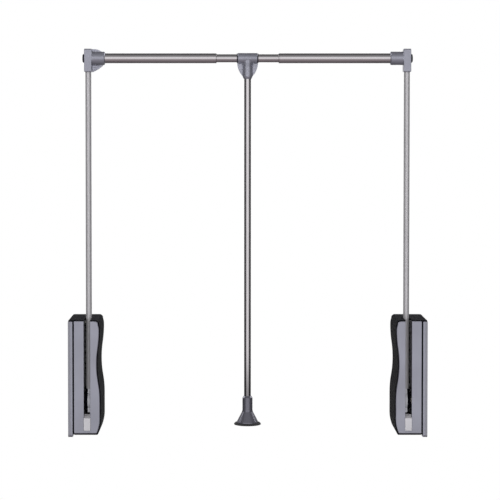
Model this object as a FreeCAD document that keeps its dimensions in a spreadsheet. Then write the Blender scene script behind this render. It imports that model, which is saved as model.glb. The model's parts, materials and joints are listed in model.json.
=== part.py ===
"""Pull-down closet rod: a wardrobe lift with two wall housings, two sprung arms and a telescopic rail.

Millimetres. X runs from the left wall face (0) to the right wall face, Y from the room (-) to the back (+),
Z up. The origin is on the left wall face, on the pivot axis of the arms.
"""
import FreeCAD, Part
import math
import os
import Sketcher

Vector = FreeCAD.Vector

OVERCUT = 1.0                   # how far a cut runs past its face, or a form into the one it joins
QUARTER_BOW = 1 - math.sqrt(0.5)   # rise of a quarter round above its chord, in radii
PRESSURE_ANGLE = 20.0           # degrees, of gear and rack
FOOT_OF_TOOTH = 1.25            # depth of a tooth below the pitch line, in modules

SIZES = {
    # the whole lift
    "span": 785.4,              # left wall face to right wall face
    "arm_reach": 757.5,         # pivot axis to rail axis
    "arm_offset": 41.5,         # wall face to the middle of an arm
    "swing": 109.0,             # degrees that the arms swing forward
    "slip": 0.05,               # radial gap of a running fit
    "touch_gap": 0.3,           # gap between parts that nearly touch
    # housing: heights from the pivot axis, depths from the arms' plane
    "housing_front": 64.0,
    "housing_back": 76.0,
    "housing_top": 184.6,
    "housing_foot": 66.6,
    "housing_wall": 2.4,
    "floor_gauge": 3.6,
    "shell_start": 13.3,        # wall face to the near edge of the shell
    "crest": 69.9,              # wall face to the shell's upper bulge
    "lower_crest": 71.4,        # wall face to its lower bulge
    "waist": 64.4,              # wall face to its waist
    "waist_height": 87.0,
    "upper_crest_height": 161.0,
    "lower_crest_height": 8.0,
    "lower_crest_drop": 32.0,
    "shoulder": 8.6,            # height of the rounded top corner
    "fascia_gauge": 3.0,
    "fascia_inset": 2.0,        # the shell's side and top stand this far outside the fascia
    "fascia_rise": 3.3,         # shell's foot up to the fascia's foot
    "slot_width": 14.0,
    "slot_back": 9.0,           # arms' plane to the back end of the slot in the top wall
    "slot_foot": 29.2,          # pivot axis down to the foot of the slot
    # base tray
    "tray_depth": 9.8,
    "tray_floor": 3.0,
    "tray_rim": 2.6,
    "tray_front": 62.0,
    "tray_back": 74.0,
    "tray_foot": 72.0,
    "tray_corner": 6.0,
    "roof_gap": 0.5,            # wall face to the near edge of the shell's roof
    "roof_corner": 6.0,
    "lip_gauge": 2.0,
    "lip_reach": 6.0,           # wall face to the lip that plugs into the tray
    "wall_screw_radius": 2.75,
    "wall_screw_front": 46.0,
    "wall_screw_back": 52.0,
    "wall_screw_low": 45.0,
    "wall_screw_high": 160.0,
    # steel bracket
    "bracket_gauge": 2.5,
    "bracket_front": 30.0,
    "bracket_back": 64.3,
    "bracket_foot": 55.0,
    "bracket_far": 54.0,        # wall face to the far edge of the upper web
    "cheek_far": 60.5,          # wall face to the outer face of the second cheek
    "cheek_height": 32.0,
    "cheek_front": 22.0,
    "rivet_radius": 2.0,
    "rivet_head_radius": 4.0,
    "rivet_head": 1.8,
    "rivet_front": 18.0,
    "rivet_back": 40.0,
    "rivet_low": 50.0,
    "rivet_high": 120.0,
    # pivot
    "axle_radius": 5.0,
    "circlip_radius": 8.0,
    "circlip_gauge": 1.0,
    "circlip_groove": 0.5,
    "hub_radius": 18.0,
    "hub_width": 20.0,
    "bush_radius": 7.0,
    "bush_flange": 1.0,
    "bush_flange_radius": 9.5,
    "spacer_radius": 8.0,
    # gear sector and rack
    "gear_module": 1.25,
    "gear_radius": 25.0,
    "gear_width": 8.0,
    "gear_backlash": 0.46,
    "gear_lead_teeth": 1.0,
    "gear_teeth": 15.0,
    "rack_width": 12.0,
    "rack_depth": 7.4,
    "rack_foot": 57.0,
    "rack_teeth": 16.0,
    "seat_height": 18.0,
    "seat_gauge": 4.0,
    # spring and damper
    "spring_back": 38.0,        # arms' plane to the spring's axis
    "coil_radius": 11.0,
    "wire_radius": 1.5,
    "coil_pitch": 12.2,
    "cup_gauge": 4.0,
    "damper_radius": 7.0,
    "damper_bore": 5.0,
    "damper_length": 87.0,
    "damper_cap": 4.0,
    "piston_radius": 3.0,
    "piston_head": 6.0,
    "piston_reach": 110.0,
    # bumpers
    "bumper_width": 15.0,
    "bumper_height": 28.0,
    "bumper_proud": 1.0,
    "bumper_depth": 20.0,
    "stop_width": 13.0,
    "stop_depth": 8.0,
    "stop_height": 13.0,
    # arms
    "arm_radius": 6.5,
    "arm_wall": 1.0,
    "arm_foot": 27.2,           # pivot axis to the foot of the arm tube
    "spigot_length": 40.0,
    "pin_height": 45.0,
    "screw_radius": 2.0,
    # corner connector
    "block_width": 16.6,
    "block_rise": 20.8,         # rail axis to the top of the block
    "block_drop": 30.0,
    "block_front": 15.0,
    "block_corner": 11.0,
    "collar_radius": 14.85,
    "collar_length": 28.8,
    "collar_chamfer": 1.6,
    "tube_seat": 2.2,           # block face to the end of the outer tube
    "arm_socket": 24.0,
    "connector_screw_drop": 19.0,
    "cap_radius": 10.0,
    "cap_height": 4.2,
    "cap_spigot_radius": 6.0,
    "cap_spigot": 4.0,
    "web_gauge": 3.0,
    "web_reach": 32.0,          # block face to the tip of the plate
    # rail
    "outer_radius": 11.0,
    "outer_wall": 1.0,
    "outer_gap": 139.4,         # between the facing ends of the outer tubes
    "inner_radius": 9.0,
    "inner_wall": 1.0,
    "inner_length": 424.0,
    "rail_bush_length": 22.0,
    "rail_bush_flange": 1.5,
    "end_bush_length": 20.0,
    # T connector
    "tee_length": 43.6,
    "tee_radius": 11.65,
    "tee_chamfer": 0.8,
    "stem_radius": 10.75,
    "stem_drop": 40.8,
    "stem_taper": 4.8,
    "stem_mouth_radius": 8.4,
    "wing_reach": 23.0,
    "wing_drop": 40.5,
    "wing_bow": 3.0,
    "wing_gauge": 3.0,
    "liner_gauge": 0.8,
    "liner_length": 14.0,
    "stop_ring_width": 2.0,
    "stop_ring_radius": 10.6,
    "tee_screw_drop": 31.0,
    # pull rod and grip
    "rod_radius": 7.5,
    "rod_wall": 1.0,
    "rod_top": 18.0,            # rail axis to the top of the pull rod
    "grip_top": 747.0,          # rail axis to the top of the grip
    "grip_neck": 33.2,
    "grip_neck_radius": 11.2,
    "grip_chamfer": 2.8,
    "grip_cone": 25.0,
    "grip_cone_radius": 24.2,
    "grip_skirt": 5.6,
    "rim_radius": 29.7,
    "rim_height": 4.6,
    "rim_round": 1.2,
    "grip_socket": 32.0,
    "pad_radius": 20.0,
    "pad_height": 2.5,
}

doc = FreeCAD.newDocument("PullDownClosetRod")
sheet = doc.addObject("Spreadsheet::Sheet", "Sizes")
for row, (alias, number) in enumerate(SIZES.items(), start=1):
    sheet.set(f"A{row}", alias)
    sheet.set(f"B{row}", str(number))
    sheet.setAlias(f"B{row}", alias)
doc.recompute()


class Size:
    """A size held both as a number and as the expression that ties it to the sheet."""

    def __init__(self, number, text):
        self.number = number
        self.text = text

    def __add__(self, other):
        other = sized(other)
        return Size(self.number + other.number, f"({self.text} + {other.text})")

    def __sub__(self, other):
        other = sized(other)
        return Size(self.number - other.number, f"({self.text} - {other.text})")

    def __mul__(self, other):
        other = sized(other)
        return Size(self.number * other.number, f"({self.text} * {other.text})")

    def __truediv__(self, other):
        other = sized(other)
        return Size(self.number / other.number, f"({self.text} / {other.text})")

    def __neg__(self):
        return Size(-self.number, f"(0 - {self.text})")

    def __rsub__(self, other):
        return sized(other) - self

    __radd__ = __add__
    __rmul__ = __mul__


def sized(value):
    """Turns a plain number into a size."""
    if isinstance(value, Size):
        return value
    return Size(float(value), f"({float(value):.9g})")


def cosine_of(angle):
    return Size(math.cos(math.radians(angle.number)), f"cos({angle.text} * 1 deg)")


def sine_of(angle):
    return Size(math.sin(math.radians(angle.number)), f"sin({angle.text} * 1 deg)")


class Lift:
    """The driving sizes, read back from the sheet."""

    def __init__(self):
        for alias in SIZES:
            setattr(self, alias, Size(float(sheet.get(alias)), f"Sizes.{alias}"))


lift = Lift()
pieces = {}


def bind(thing, path, value):
    """Ties one property of an object to the sheet."""
    thing.setExpression(path, sized(value).text)


def place(piece, x=0, y=0, z=0):
    for axis, value in zip("xyz", (x, y, z)):
        bind(piece, f".Placement.Base.{axis}", value)


def keep(label, piece):
    """Names a finished piece."""
    piece.Label = label
    pieces[label] = piece
    return piece


def new_body(label, x=0, y=0, z=0):
    body = doc.addObject("PartDesign::Body", label)
    place(body, x, y, z)
    return body


def new_sketch(body, plane, lift_off=0):
    """Adds a sketch on one of the body's own origin planes, moved along the plane's normal."""
    sketch = body.newObject("Sketcher::SketchObject", "Sketch")
    role = f"{plane}_Plane"
    datum = next(item for item in body.Origin.OriginFeatures if item.Role == role)
    sketch.AttachmentSupport = [(datum, "")]
    sketch.MapMode = "FlatFace"
    bind(sketch, ".AttachmentOffset.Base.z", lift_off)
    return sketch


def pin(sketch, element, end, across, up):
    """Holds one point of a sketch at a place tied to the sheet."""
    for kind, value in (("DistanceX", across), ("DistanceY", up)):
        value = sized(value)
        index = sketch.addConstraint(Sketcher.Constraint(kind, -1, 1, element, end, value.number))
        bind(sketch, f"Constraints[{index}]", value)


def outline(sketch, corners):
    """Draws a closed outline through corners (across, up).

    A third value bows the edge that leaves the corner, by that much to the right of the way round.
    """
    spots = [Vector(sized(c[0]).number, sized(c[1]).number, 0) for c in corners]
    ends = []
    for index, corner in enumerate(corners):
        start = spots[index]
        finish = spots[(index + 1) % len(spots)]
        if len(corner) == 2:
            element = sketch.addGeometry(Part.LineSegment(start, finish))
        else:
            run = finish - start
            side = Vector(run.y, -run.x, 0).normalize()
            middle = (start + finish) * 0.5 + side * corner[2].number
            element = sketch.addGeometry(Part.Arc(start, middle, finish))
        first_is_start = sketch.getPoint(element, 1).distanceToPoint(start) < 1e-6
        ends.append((element, 1, 2) if first_is_start else (element, 2, 1))
    for index, corner in enumerate(corners):
        element, first, last = ends[index]
        following, following_first, _ = ends[(index + 1) % len(ends)]
        sketch.addConstraint(Sketcher.Constraint("Coincident", element, last, following, following_first))
        pin(sketch, element, first, corner[0], corner[1])
    for index, corner in enumerate(corners):
        if len(corner) == 3:
            bow = corner[2] if corner[2].number > 0 else -corner[2]
            finish = corners[(index + 1) % len(corners)]
            across = sized(finish[0]) - corner[0]
            up = sized(finish[1]) - corner[1]
            radius = (across * across + up * up) / (bow * 8) + bow / 2
            which = sketch.addConstraint(Sketcher.Constraint("Radius", ends[index][0], radius.number))
            bind(sketch, f"Constraints[{which}]", radius)
    return sketch


def rectangle(sketch, left, right, low, high):
    return outline(sketch, [(left, low), (right, low), (right, high), (left, high)])


def circle(sketch, across, up, radius):
    """Draws a circle with its centre and radius tied to the sheet."""
    centre = Vector(sized(across).number, sized(up).number, 0)
    element = sketch.addGeometry(Part.Circle(centre, Vector(0, 0, 1), sized(radius).number))
    pin(sketch, element, 3, across, up)
    index = sketch.addConstraint(Sketcher.Constraint("Radius", element, sized(radius).number))
    bind(sketch, f"Constraints[{index}]", radius)
    return sketch


def pad(body, sketch, length, backwards=False):
    feature = body.newObject("PartDesign::Pad", "Pad")
    feature.Profile = sketch
    bind(feature, "Length", length)
    feature.Reversed = backwards
    sketch.Visibility = False
    return feature


def pocket(body, sketch, length, backwards=False):
    """Cuts a sketch into the body, against the plane's normal unless it is turned round."""
    feature = body.newObject("PartDesign::Pocket", "Pocket")
    feature.Profile = sketch
    bind(feature, "Length", length)
    feature.Reversed = backwards
    return feature


def turn(body, sketch, axis, kind="PartDesign::Revolution"):
    """Turns a half section about the sketch's level axis (H_Axis) or upright axis (V_Axis)."""
    feature = body.newObject(kind, "Turned")
    feature.Profile = sketch
    feature.ReferenceAxis = (sketch, [axis])
    feature.Angle = 360
    return feature


def turned_along(label, start, section, y=0, z=0):
    """A round piece along X: the section is a list of (along, radius) from its start."""
    body = new_body(label, start, y, z)
    turn(body, outline(new_sketch(body, "XZ"), section), "H_Axis")
    return body


def turned_upright(label, x, y, section, z=0):
    """A round piece along Z: the section is a list of (radius, height)."""
    body = new_body(label, x, y, z)
    turn(body, outline(new_sketch(body, "XZ"), section), "V_Axis")
    return body


def ring(bore, radius, start, length):
    """The section of a plain ring or tube, as (along, radius)."""
    return [(start, bore), (start + length, bore), (start + length, radius), (start, radius)]


def rod(radius, start, finish):
    """The section of a plain rod, as (along, radius)."""
    return [(start, 0), (finish, 0), (finish, radius), (start, radius)]


def upright(section):
    """Turns a section given as (along, radius) into (radius, height)."""
    return [(point[1], point[0]) for point in section]


def group(label, bodies):
    """Keeps like pieces together as one node of separate solids."""
    bundle = doc.addObject("Part::Compound", label)
    bundle.Links = bodies
    return keep(label, bundle)


# --- places that several pieces share -------------------------------------------------------------------
pivot_x = lift.arm_offset
middle_x = lift.span / 2
rail_z = lift.arm_reach
slot_left = lift.arm_offset - lift.slot_width / 2
slot_right = lift.arm_offset + lift.slot_width / 2
block_left = lift.arm_offset - lift.block_width / 2
block_right = lift.arm_offset + lift.block_width / 2
shell_front = lift.housing_front - lift.fascia_gauge
plate_near = lift.tray_floor
plate_far = lift.tray_floor + lift.bracket_gauge
cheek_near = lift.cheek_far - lift.bracket_gauge
hub_left = lift.arm_offset - lift.hub_width / 2
hub_right = lift.arm_offset + lift.hub_width / 2
tooth_pitch = lift.gear_module * math.pi
tooth_half = (tooth_pitch / 2 - lift.gear_backlash) / 2
tooth_slope = math.tan(math.radians(PRESSURE_ANGLE))
addendum = lift.gear_module
dedendum = lift.gear_module * FOOT_OF_TOOTH
seat_top = lift.seat_height + lift.seat_gauge
outer_bore = lift.outer_radius - lift.outer_wall
outer_start = block_right + lift.tube_seat
outer_end = middle_x - lift.outer_gap / 2
collar_screw_x = block_right + lift.collar_length / 2
tray_top = lift.housing_top - lift.housing_wall - lift.touch_gap
tray_lip_front = lift.tray_front - lift.tray_rim - lift.touch_gap
tray_lip_back = lift.tray_back - lift.tray_rim - lift.touch_gap
tray_lip_top = tray_top - lift.tray_rim - lift.touch_gap
tray_lip_foot = lift.housing_foot - lift.touch_gap * 5
bracket_top = tray_lip_top - lift.lip_gauge - lift.touch_gap * 2
top_flange = bracket_top - lift.bracket_gauge
spring_top = top_flange - lift.cup_gauge


def side_outline(inset, near_edge, foot_rise):
    """The housing's outline seen from the front: a flat wall side and a waisted inner side.

    It lies inside the shell's own outline by inset at the side and top, and by foot_rise at the foot.
    """
    far = lift.crest - inset
    low_far = lift.lower_crest - inset
    waist = lift.waist - inset
    top = lift.housing_top - inset
    foot = foot_rise - lift.housing_foot
    low_half = (low_far + waist) / 2
    high_half = (far + waist) / 2
    low_bow = (lift.lower_crest - lift.waist) / 8
    high_bow = (lift.crest - lift.waist) / 8
    low_turn = (lift.waist_height + lift.lower_crest_height) / 2
    high_turn = (lift.waist_height + lift.upper_crest_height) / 2
    shoulder_start = far - lift.shoulder * 1.12
    shoulder_lean = lift.shoulder * 0.25
    heel_start = low_far - lift.shoulder
    heel_turn = low_far - lift.shoulder * 0.62
    heel_rise = lift.shoulder * 0.4
    return [
        (near_edge, foot),
        (heel_start, foot, lift.shoulder * 0.1),
        (heel_turn, foot + heel_rise, lift.shoulder * 0.16),
        (low_far, -lift.lower_crest_drop),
        (low_far, lift.lower_crest_height, low_bow),
        (low_half, low_turn, -low_bow),
        (waist, lift.waist_height, -high_bow),
        (high_half, high_turn, high_bow),
        (far, lift.upper_crest_height, high_bow),
        (far - shoulder_lean, top - lift.shoulder, lift.shoulder * 0.28),
        (shoulder_start, top),
        (near_edge, top),
    ]


def base_tray():
    """A shallow tray against the wall, with screw and rivet holes."""
    body = new_body("base_tray")
    corner = lift.tray_corner
    bow = corner * QUARTER_BOW
    outer = [
        (corner - lift.tray_front, -lift.tray_foot),
        (lift.tray_back - corner, -lift.tray_foot, bow),
        (lift.tray_back, corner - lift.tray_foot),
        (lift.tray_back, tray_top),
        (-lift.tray_front, tray_top),
        (-lift.tray_front, corner - lift.tray_foot, bow),
    ]
    pad(body, outline(new_sketch(body, "YZ"), outer), lift.tray_depth)
    rim = lift.tray_rim
    inside = new_sketch(body, "YZ", lift.tray_depth)
    rectangle(inside, rim - lift.tray_front, lift.tray_back - rim, rim - lift.tray_foot, tray_top - rim)
    pocket(body, inside, lift.tray_depth - lift.tray_floor)
    holes = new_sketch(body, "YZ", lift.tray_floor)
    for depth in (-lift.wall_screw_front, lift.wall_screw_back):
        for height in (-lift.wall_screw_low, lift.wall_screw_high):
            circle(holes, depth, height, lift.wall_screw_radius)
    for depth, height in rivet_places():
        circle(holes, depth, height, lift.rivet_radius + lift.slip)
    pocket(body, holes, lift.tray_floor)
    return body


def rivet_places():
    return [(depth, height) for depth in (-lift.rivet_front, lift.rivet_back)
            for height in (lift.rivet_low, lift.rivet_high)]


def shell():
    """The hood: roof, foot, waisted inner side and back, with a lip that plugs into the tray."""
    body = new_body("shell")
    depth = lift.housing_back + shell_front
    wall = lift.housing_wall
    outside = new_sketch(body, "XZ", -lift.housing_back)
    outline(outside, side_outline(sized(0), lift.shell_start, sized(0)))
    pad(body, outside, depth)
    hollow = new_sketch(body, "XZ", shell_front)
    outline(hollow, side_outline(wall, lift.shell_start - OVERCUT, lift.floor_gauge))
    pocket(body, hollow, depth - wall)
    flange = new_sketch(body, "YZ", lift.shell_start)
    rectangle(flange, -shell_front, lift.housing_back, -lift.housing_foot, lift.housing_top)
    lip_hole(flange)
    pad(body, flange, wall)
    lip = new_sketch(body, "YZ", lift.lip_reach)
    rectangle(lip, -tray_lip_front, tray_lip_back, -tray_lip_foot, tray_lip_top)
    lip_hole(lip)
    pad(body, lip, lift.shell_start + wall - lift.lip_reach)
    corner = lift.roof_corner
    roof = new_sketch(body, "XY", lift.housing_top - wall)
    outline(roof, [
        (lift.shell_start + wall, lift.housing_back),
        (lift.roof_gap + corner, lift.housing_back, corner * QUARTER_BOW),
        (lift.roof_gap, lift.housing_back - corner),
        (lift.roof_gap, corner - lift.housing_front, corner * QUARTER_BOW),
        (lift.roof_gap + corner, -lift.housing_front),
        (lift.shell_start - lift.touch_gap, -lift.housing_front),
        (lift.shell_start - lift.touch_gap, -shell_front),
        (lift.shell_start + wall, -shell_front),
    ])
    pad(body, roof, wall)
    slot = new_sketch(body, "XY", lift.housing_top)
    rectangle(slot, slot_left, slot_right, -shell_front - OVERCUT, lift.slot_back)
    pocket(body, slot, wall + OVERCUT)
    corner = wall * 2
    reach = lift.lower_crest + OVERCUT
    edge = new_sketch(body, "XY", lift.housing_top + OVERCUT)
    outline(edge, [
        (lift.lower_crest - corner, lift.housing_back, -corner * QUARTER_BOW),
        (lift.lower_crest, lift.housing_back - corner),
        (reach, lift.housing_back - corner),
        (reach, lift.housing_back + OVERCUT),
        (lift.lower_crest - corner, lift.housing_back + OVERCUT),
    ])
    pocket(body, edge, lift.housing_top + lift.housing_foot + OVERCUT * 2)
    return body


def lip_hole(sketch):
    """Leaves only the lip's thin wall of a section."""
    gauge = lift.lip_gauge
    low = gauge - tray_lip_foot
    high = tray_lip_top - gauge
    rectangle(sketch, gauge - tray_lip_front, tray_lip_back - gauge, low, high)


def fascia():
    """The grey front plate with its tall slot and the window of the lower bumper."""
    body = new_body("fascia")
    plate = new_sketch(body, "XZ", shell_front)
    outline(plate, side_outline(lift.fascia_inset, lift.shell_start, lift.fascia_rise))
    pad(body, plate, lift.fascia_gauge)
    cut = lift.fascia_gauge + OVERCUT
    slot = new_sketch(body, "XZ", lift.housing_front)
    rectangle(slot, slot_left, slot_right, -lift.slot_foot - OVERCUT, lift.housing_top + OVERCUT)
    pocket(body, slot, cut)
    gap = lift.touch_gap / 2
    half = lift.bumper_width / 2 + gap
    window = new_sketch(body, "XZ", lift.housing_front)
    low = -lift.slot_foot - lift.bumper_height - gap
    rectangle(window, pivot_x - half, pivot_x + half, low, bumper_top(-shell_front) + gap)
    pocket(body, window, cut)
    return body


def steel_bracket():
    """A folded steel channel: wall plate, back web, pivot cheek and the flange above the spring."""
    body = new_body("steel_bracket")
    wall_plate = new_sketch(body, "YZ", plate_near)
    rectangle(wall_plate, -lift.bracket_front, lift.bracket_back, -lift.bracket_foot, bracket_top)
    pad(body, wall_plate, lift.bracket_gauge)
    web = new_sketch(body, "XZ", -lift.bracket_back)
    outline(web, [
        (plate_near, -lift.bracket_foot),
        (lift.cheek_far, -lift.bracket_foot),
        (lift.cheek_far, lift.cheek_height),
        (lift.bracket_far, lift.cheek_height),
        (lift.bracket_far, bracket_top),
        (plate_near, bracket_top),
    ])
    pad(body, web, lift.bracket_gauge)
    cheek = new_sketch(body, "YZ", cheek_near)
    rectangle(cheek, -lift.cheek_front, lift.bracket_back, -lift.cheek_height, lift.cheek_height)
    pad(body, cheek, lift.bracket_gauge)
    flange = new_sketch(body, "XY", top_flange)
    near = lift.spring_back - lift.coil_radius - lift.wire_radius * 3
    rectangle(flange, plate_near, lift.bracket_far, near, lift.bracket_back)
    pad(body, flange, lift.bracket_gauge)
    bore = circle(new_sketch(body, "YZ", plate_near - OVERCUT), 0, 0, lift.axle_radius + lift.slip)
    pocket(body, bore, lift.cheek_far, backwards=True)
    holes = new_sketch(body, "YZ", plate_near - OVERCUT)
    for depth, height in rivet_places():
        circle(holes, depth, height, lift.rivet_radius + lift.slip)
    for height in (-lift.wall_screw_low, lift.wall_screw_high):
        circle(holes, lift.wall_screw_back, height, lift.wall_screw_radius + lift.touch_gap)
    pocket(body, holes, lift.bracket_gauge + OVERCUT * 2, backwards=True)
    return body


def bracket_rivets(side):
    """Rivets that hold the bracket to the tray, flush on the wall side."""
    rivets = []
    for depth, height in rivet_places():
        section = [
            (lift.slip, 0),
            (plate_far + lift.rivet_head, 0),
            (plate_far + lift.rivet_head, lift.rivet_head_radius * 0.7),
            (plate_far, lift.rivet_head_radius),
            (plate_far, lift.rivet_radius),
            (lift.slip, lift.rivet_radius),
        ]
        rivets.append(turned_along("rivet", 0, section, depth, height))
    return group(f"{side}_bracket_rivets", rivets)


def circlip_starts():
    """Where the two circlips sit along the axle."""
    return (plate_far + lift.slip, lift.cheek_far + lift.slip)


def pivot_axle():
    """The axle, with a groove for each circlip."""
    near = plate_near + lift.slip * 2
    far = lift.cheek_far + lift.circlip_gauge * 2.5
    body = turned_along("pivot_axle", 0, rod(lift.axle_radius, near, far))
    groove_radius = lift.axle_radius - lift.circlip_groove
    groove_width = lift.circlip_gauge + lift.slip * 2
    for start in circlip_starts():
        section = ring(groove_radius, lift.axle_radius + OVERCUT, start - lift.slip, groove_width)
        turn(body, outline(new_sketch(body, "XZ"), section), "H_Axis", "PartDesign::Groove")
    return body


def axle_circlips(side):
    """Clips that hold the axle between the wall plate and the cheek."""
    clips = []
    for start in circlip_starts():
        bore = lift.axle_radius - lift.circlip_groove + lift.slip
        clips.append(turned_along("circlip", 0, ring(bore, lift.circlip_radius, start, lift.circlip_gauge)))
    return group(f"{side}_axle_circlips", clips)


def pivot_spacers(side):
    """Sleeves that keep the hub in the middle of the bracket."""
    bore = lift.axle_radius + lift.slip
    gap = lift.slip * 2
    near_start = circlip_starts()[0] + lift.circlip_gauge + lift.slip
    near_length = hub_left - lift.bush_flange - gap - near_start
    far_start = hub_right + lift.bush_flange + gap
    far_length = cheek_near - lift.slip - far_start
    sleeves = [
        turned_along("spacer", 0, ring(bore, lift.spacer_radius, near_start, near_length)),
        turned_along("spacer", 0, ring(bore, lift.spacer_radius, far_start, far_length)),
    ]
    return group(f"{side}_pivot_spacers", sleeves)


def pivot_bushes(side):
    """Flanged bushes pressed into both ends of the hub."""
    bore = lift.axle_radius + lift.slip
    radius = lift.bush_radius - lift.slip / 2
    length = lift.hub_width / 2 - lift.touch_gap
    near = [
        (hub_left - lift.bush_flange, bore),
        (hub_left + length, bore),
        (hub_left + length, radius),
        (hub_left, radius),
        (hub_left, lift.bush_flange_radius),
        (hub_left - lift.bush_flange, lift.bush_flange_radius),
    ]
    far = [
        (hub_right + lift.bush_flange, bore),
        (hub_right + lift.bush_flange, lift.bush_flange_radius),
        (hub_right, lift.bush_flange_radius),
        (hub_right, radius),
        (hub_right - length, radius),
        (hub_right - length, bore),
    ]
    return group(f"{side}_pivot_bushes", [turned_along("bush", 0, near), turned_along("bush", 0, far)])


def arm_hub():
    """The hub: a drum with a gear sector below and a spigot for the arm tube above."""
    body = new_body("arm_hub", pivot_x)
    drum = circle(new_sketch(body, "YZ", -lift.hub_width / 2), 0, 0, lift.hub_radius)
    pad(body, drum, lift.hub_width)
    step = Size(360.0, "360") * lift.gear_module / (lift.gear_radius * 2)
    lead = step * (lift.gear_lead_teeth + 0.5)
    trail = step * (lift.gear_lead_teeth - lift.gear_teeth + 0.5)
    root_radius = lift.gear_radius - dedendum
    half_way = (lead + trail) / 2
    bow = root_radius * (1 - cosine_of((lead - trail) / 4))
    sector = new_sketch(body, "YZ", -lift.gear_width / 2)
    outline(sector, [
        (0, 0),
        (root_radius * cosine_of(trail), root_radius * sine_of(trail), bow),
        (root_radius * cosine_of(half_way), root_radius * sine_of(half_way), bow),
        (root_radius * cosine_of(lead), root_radius * sine_of(lead)),
    ])
    pad(body, sector, lift.gear_width)
    tooth = new_sketch(body, "YZ", -lift.gear_width / 2)
    inner = root_radius - lift.touch_gap
    tip = lift.gear_radius + addendum
    foot_half = tooth_half + (lift.gear_radius - inner) * tooth_slope
    tip_half = tooth_half - addendum * tooth_slope
    turned_up = step * lift.gear_lead_teeth
    across = cosine_of(turned_up)
    up = sine_of(turned_up)
    outline(tooth, [
        (inner * across + foot_half * up, inner * up - foot_half * across),
        (tip * across + tip_half * up, tip * up - tip_half * across),
        (tip * across - tip_half * up, tip * up + tip_half * across),
        (inner * across - foot_half * up, inner * up + foot_half * across),
    ])
    first_tooth = pad(body, tooth, lift.gear_width)
    teeth = body.newObject("PartDesign::PolarPattern", "Teeth")
    teeth.Originals = [first_tooth]
    teeth.Axis = (tooth, ["N_Axis"])
    teeth.Reversed = True
    bind(teeth, "Angle", step * (lift.gear_teeth - 1))
    bind(teeth, "Occurrences", lift.gear_teeth)
    body.Tip = teeth
    neck = circle(new_sketch(body, "XY", lift.hub_radius / 2), 0, 0, lift.arm_radius)
    pad(body, neck, lift.arm_foot - lift.touch_gap / 2 - lift.hub_radius / 2)
    spigot_radius = lift.arm_radius - lift.arm_wall - lift.slip
    spigot = circle(new_sketch(body, "XY", lift.hub_radius / 2), 0, 0, spigot_radius)
    pad(body, spigot, lift.arm_foot + lift.spigot_length - lift.hub_radius / 2)
    bore = circle(new_sketch(body, "YZ", -lift.hub_width / 2 - OVERCUT), 0, 0, lift.bush_radius)
    pocket(body, bore, lift.hub_width + OVERCUT * 2, backwards=True)
    cross_hole(body, 0, lift.pin_height)
    return body


def cross_hole(body, y, z):
    """A hole along X for the pin that locks the arm tube on its spigot."""
    sketch = new_sketch(body, "YZ", -lift.arm_radius - OVERCUT)
    circle(sketch, y, z, lift.screw_radius + lift.slip)
    pocket(body, sketch, lift.arm_radius * 2 + OVERCUT * 2, backwards=True)


def arm_tube():
    """The arm, from the hub's spigot up into the corner connector."""
    bore = lift.arm_radius - lift.arm_wall
    length = rail_z - lift.block_drop + lift.arm_socket - lift.touch_gap - lift.arm_foot
    section = upright(ring(bore, lift.arm_radius, lift.arm_foot, length))
    body = turned_upright("arm_tube", pivot_x, 0, section)
    cross_hole(body, 0, lift.pin_height)
    return body


def arm_screws(side):
    """The pin through hub and arm tube, and the grub screws of the corner connector."""
    reach = lift.arm_radius - lift.slip
    cross_pin = turned_along("pin", pivot_x, rod(lift.screw_radius, -reach, reach), 0, lift.pin_height)
    back_screw = new_body("grub", pivot_x, 0, rail_z - lift.connector_screw_drop)
    shank = circle(new_sketch(back_screw, "XZ", -lift.block_front), 0, 0, lift.screw_radius)
    pad(back_screw, shank, lift.block_front - lift.arm_radius - lift.slip)
    collar_low = rail_z - lift.collar_radius + lift.touch_gap
    collar_high = rail_z - lift.outer_radius - lift.slip
    collar_section = upright(rod(lift.screw_radius, collar_low, collar_high))
    collar_screw = turned_upright("grub", collar_screw_x, 0, collar_section)
    return group(f"{side}_arm_screws", [cross_pin, back_screw, collar_screw])


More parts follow.
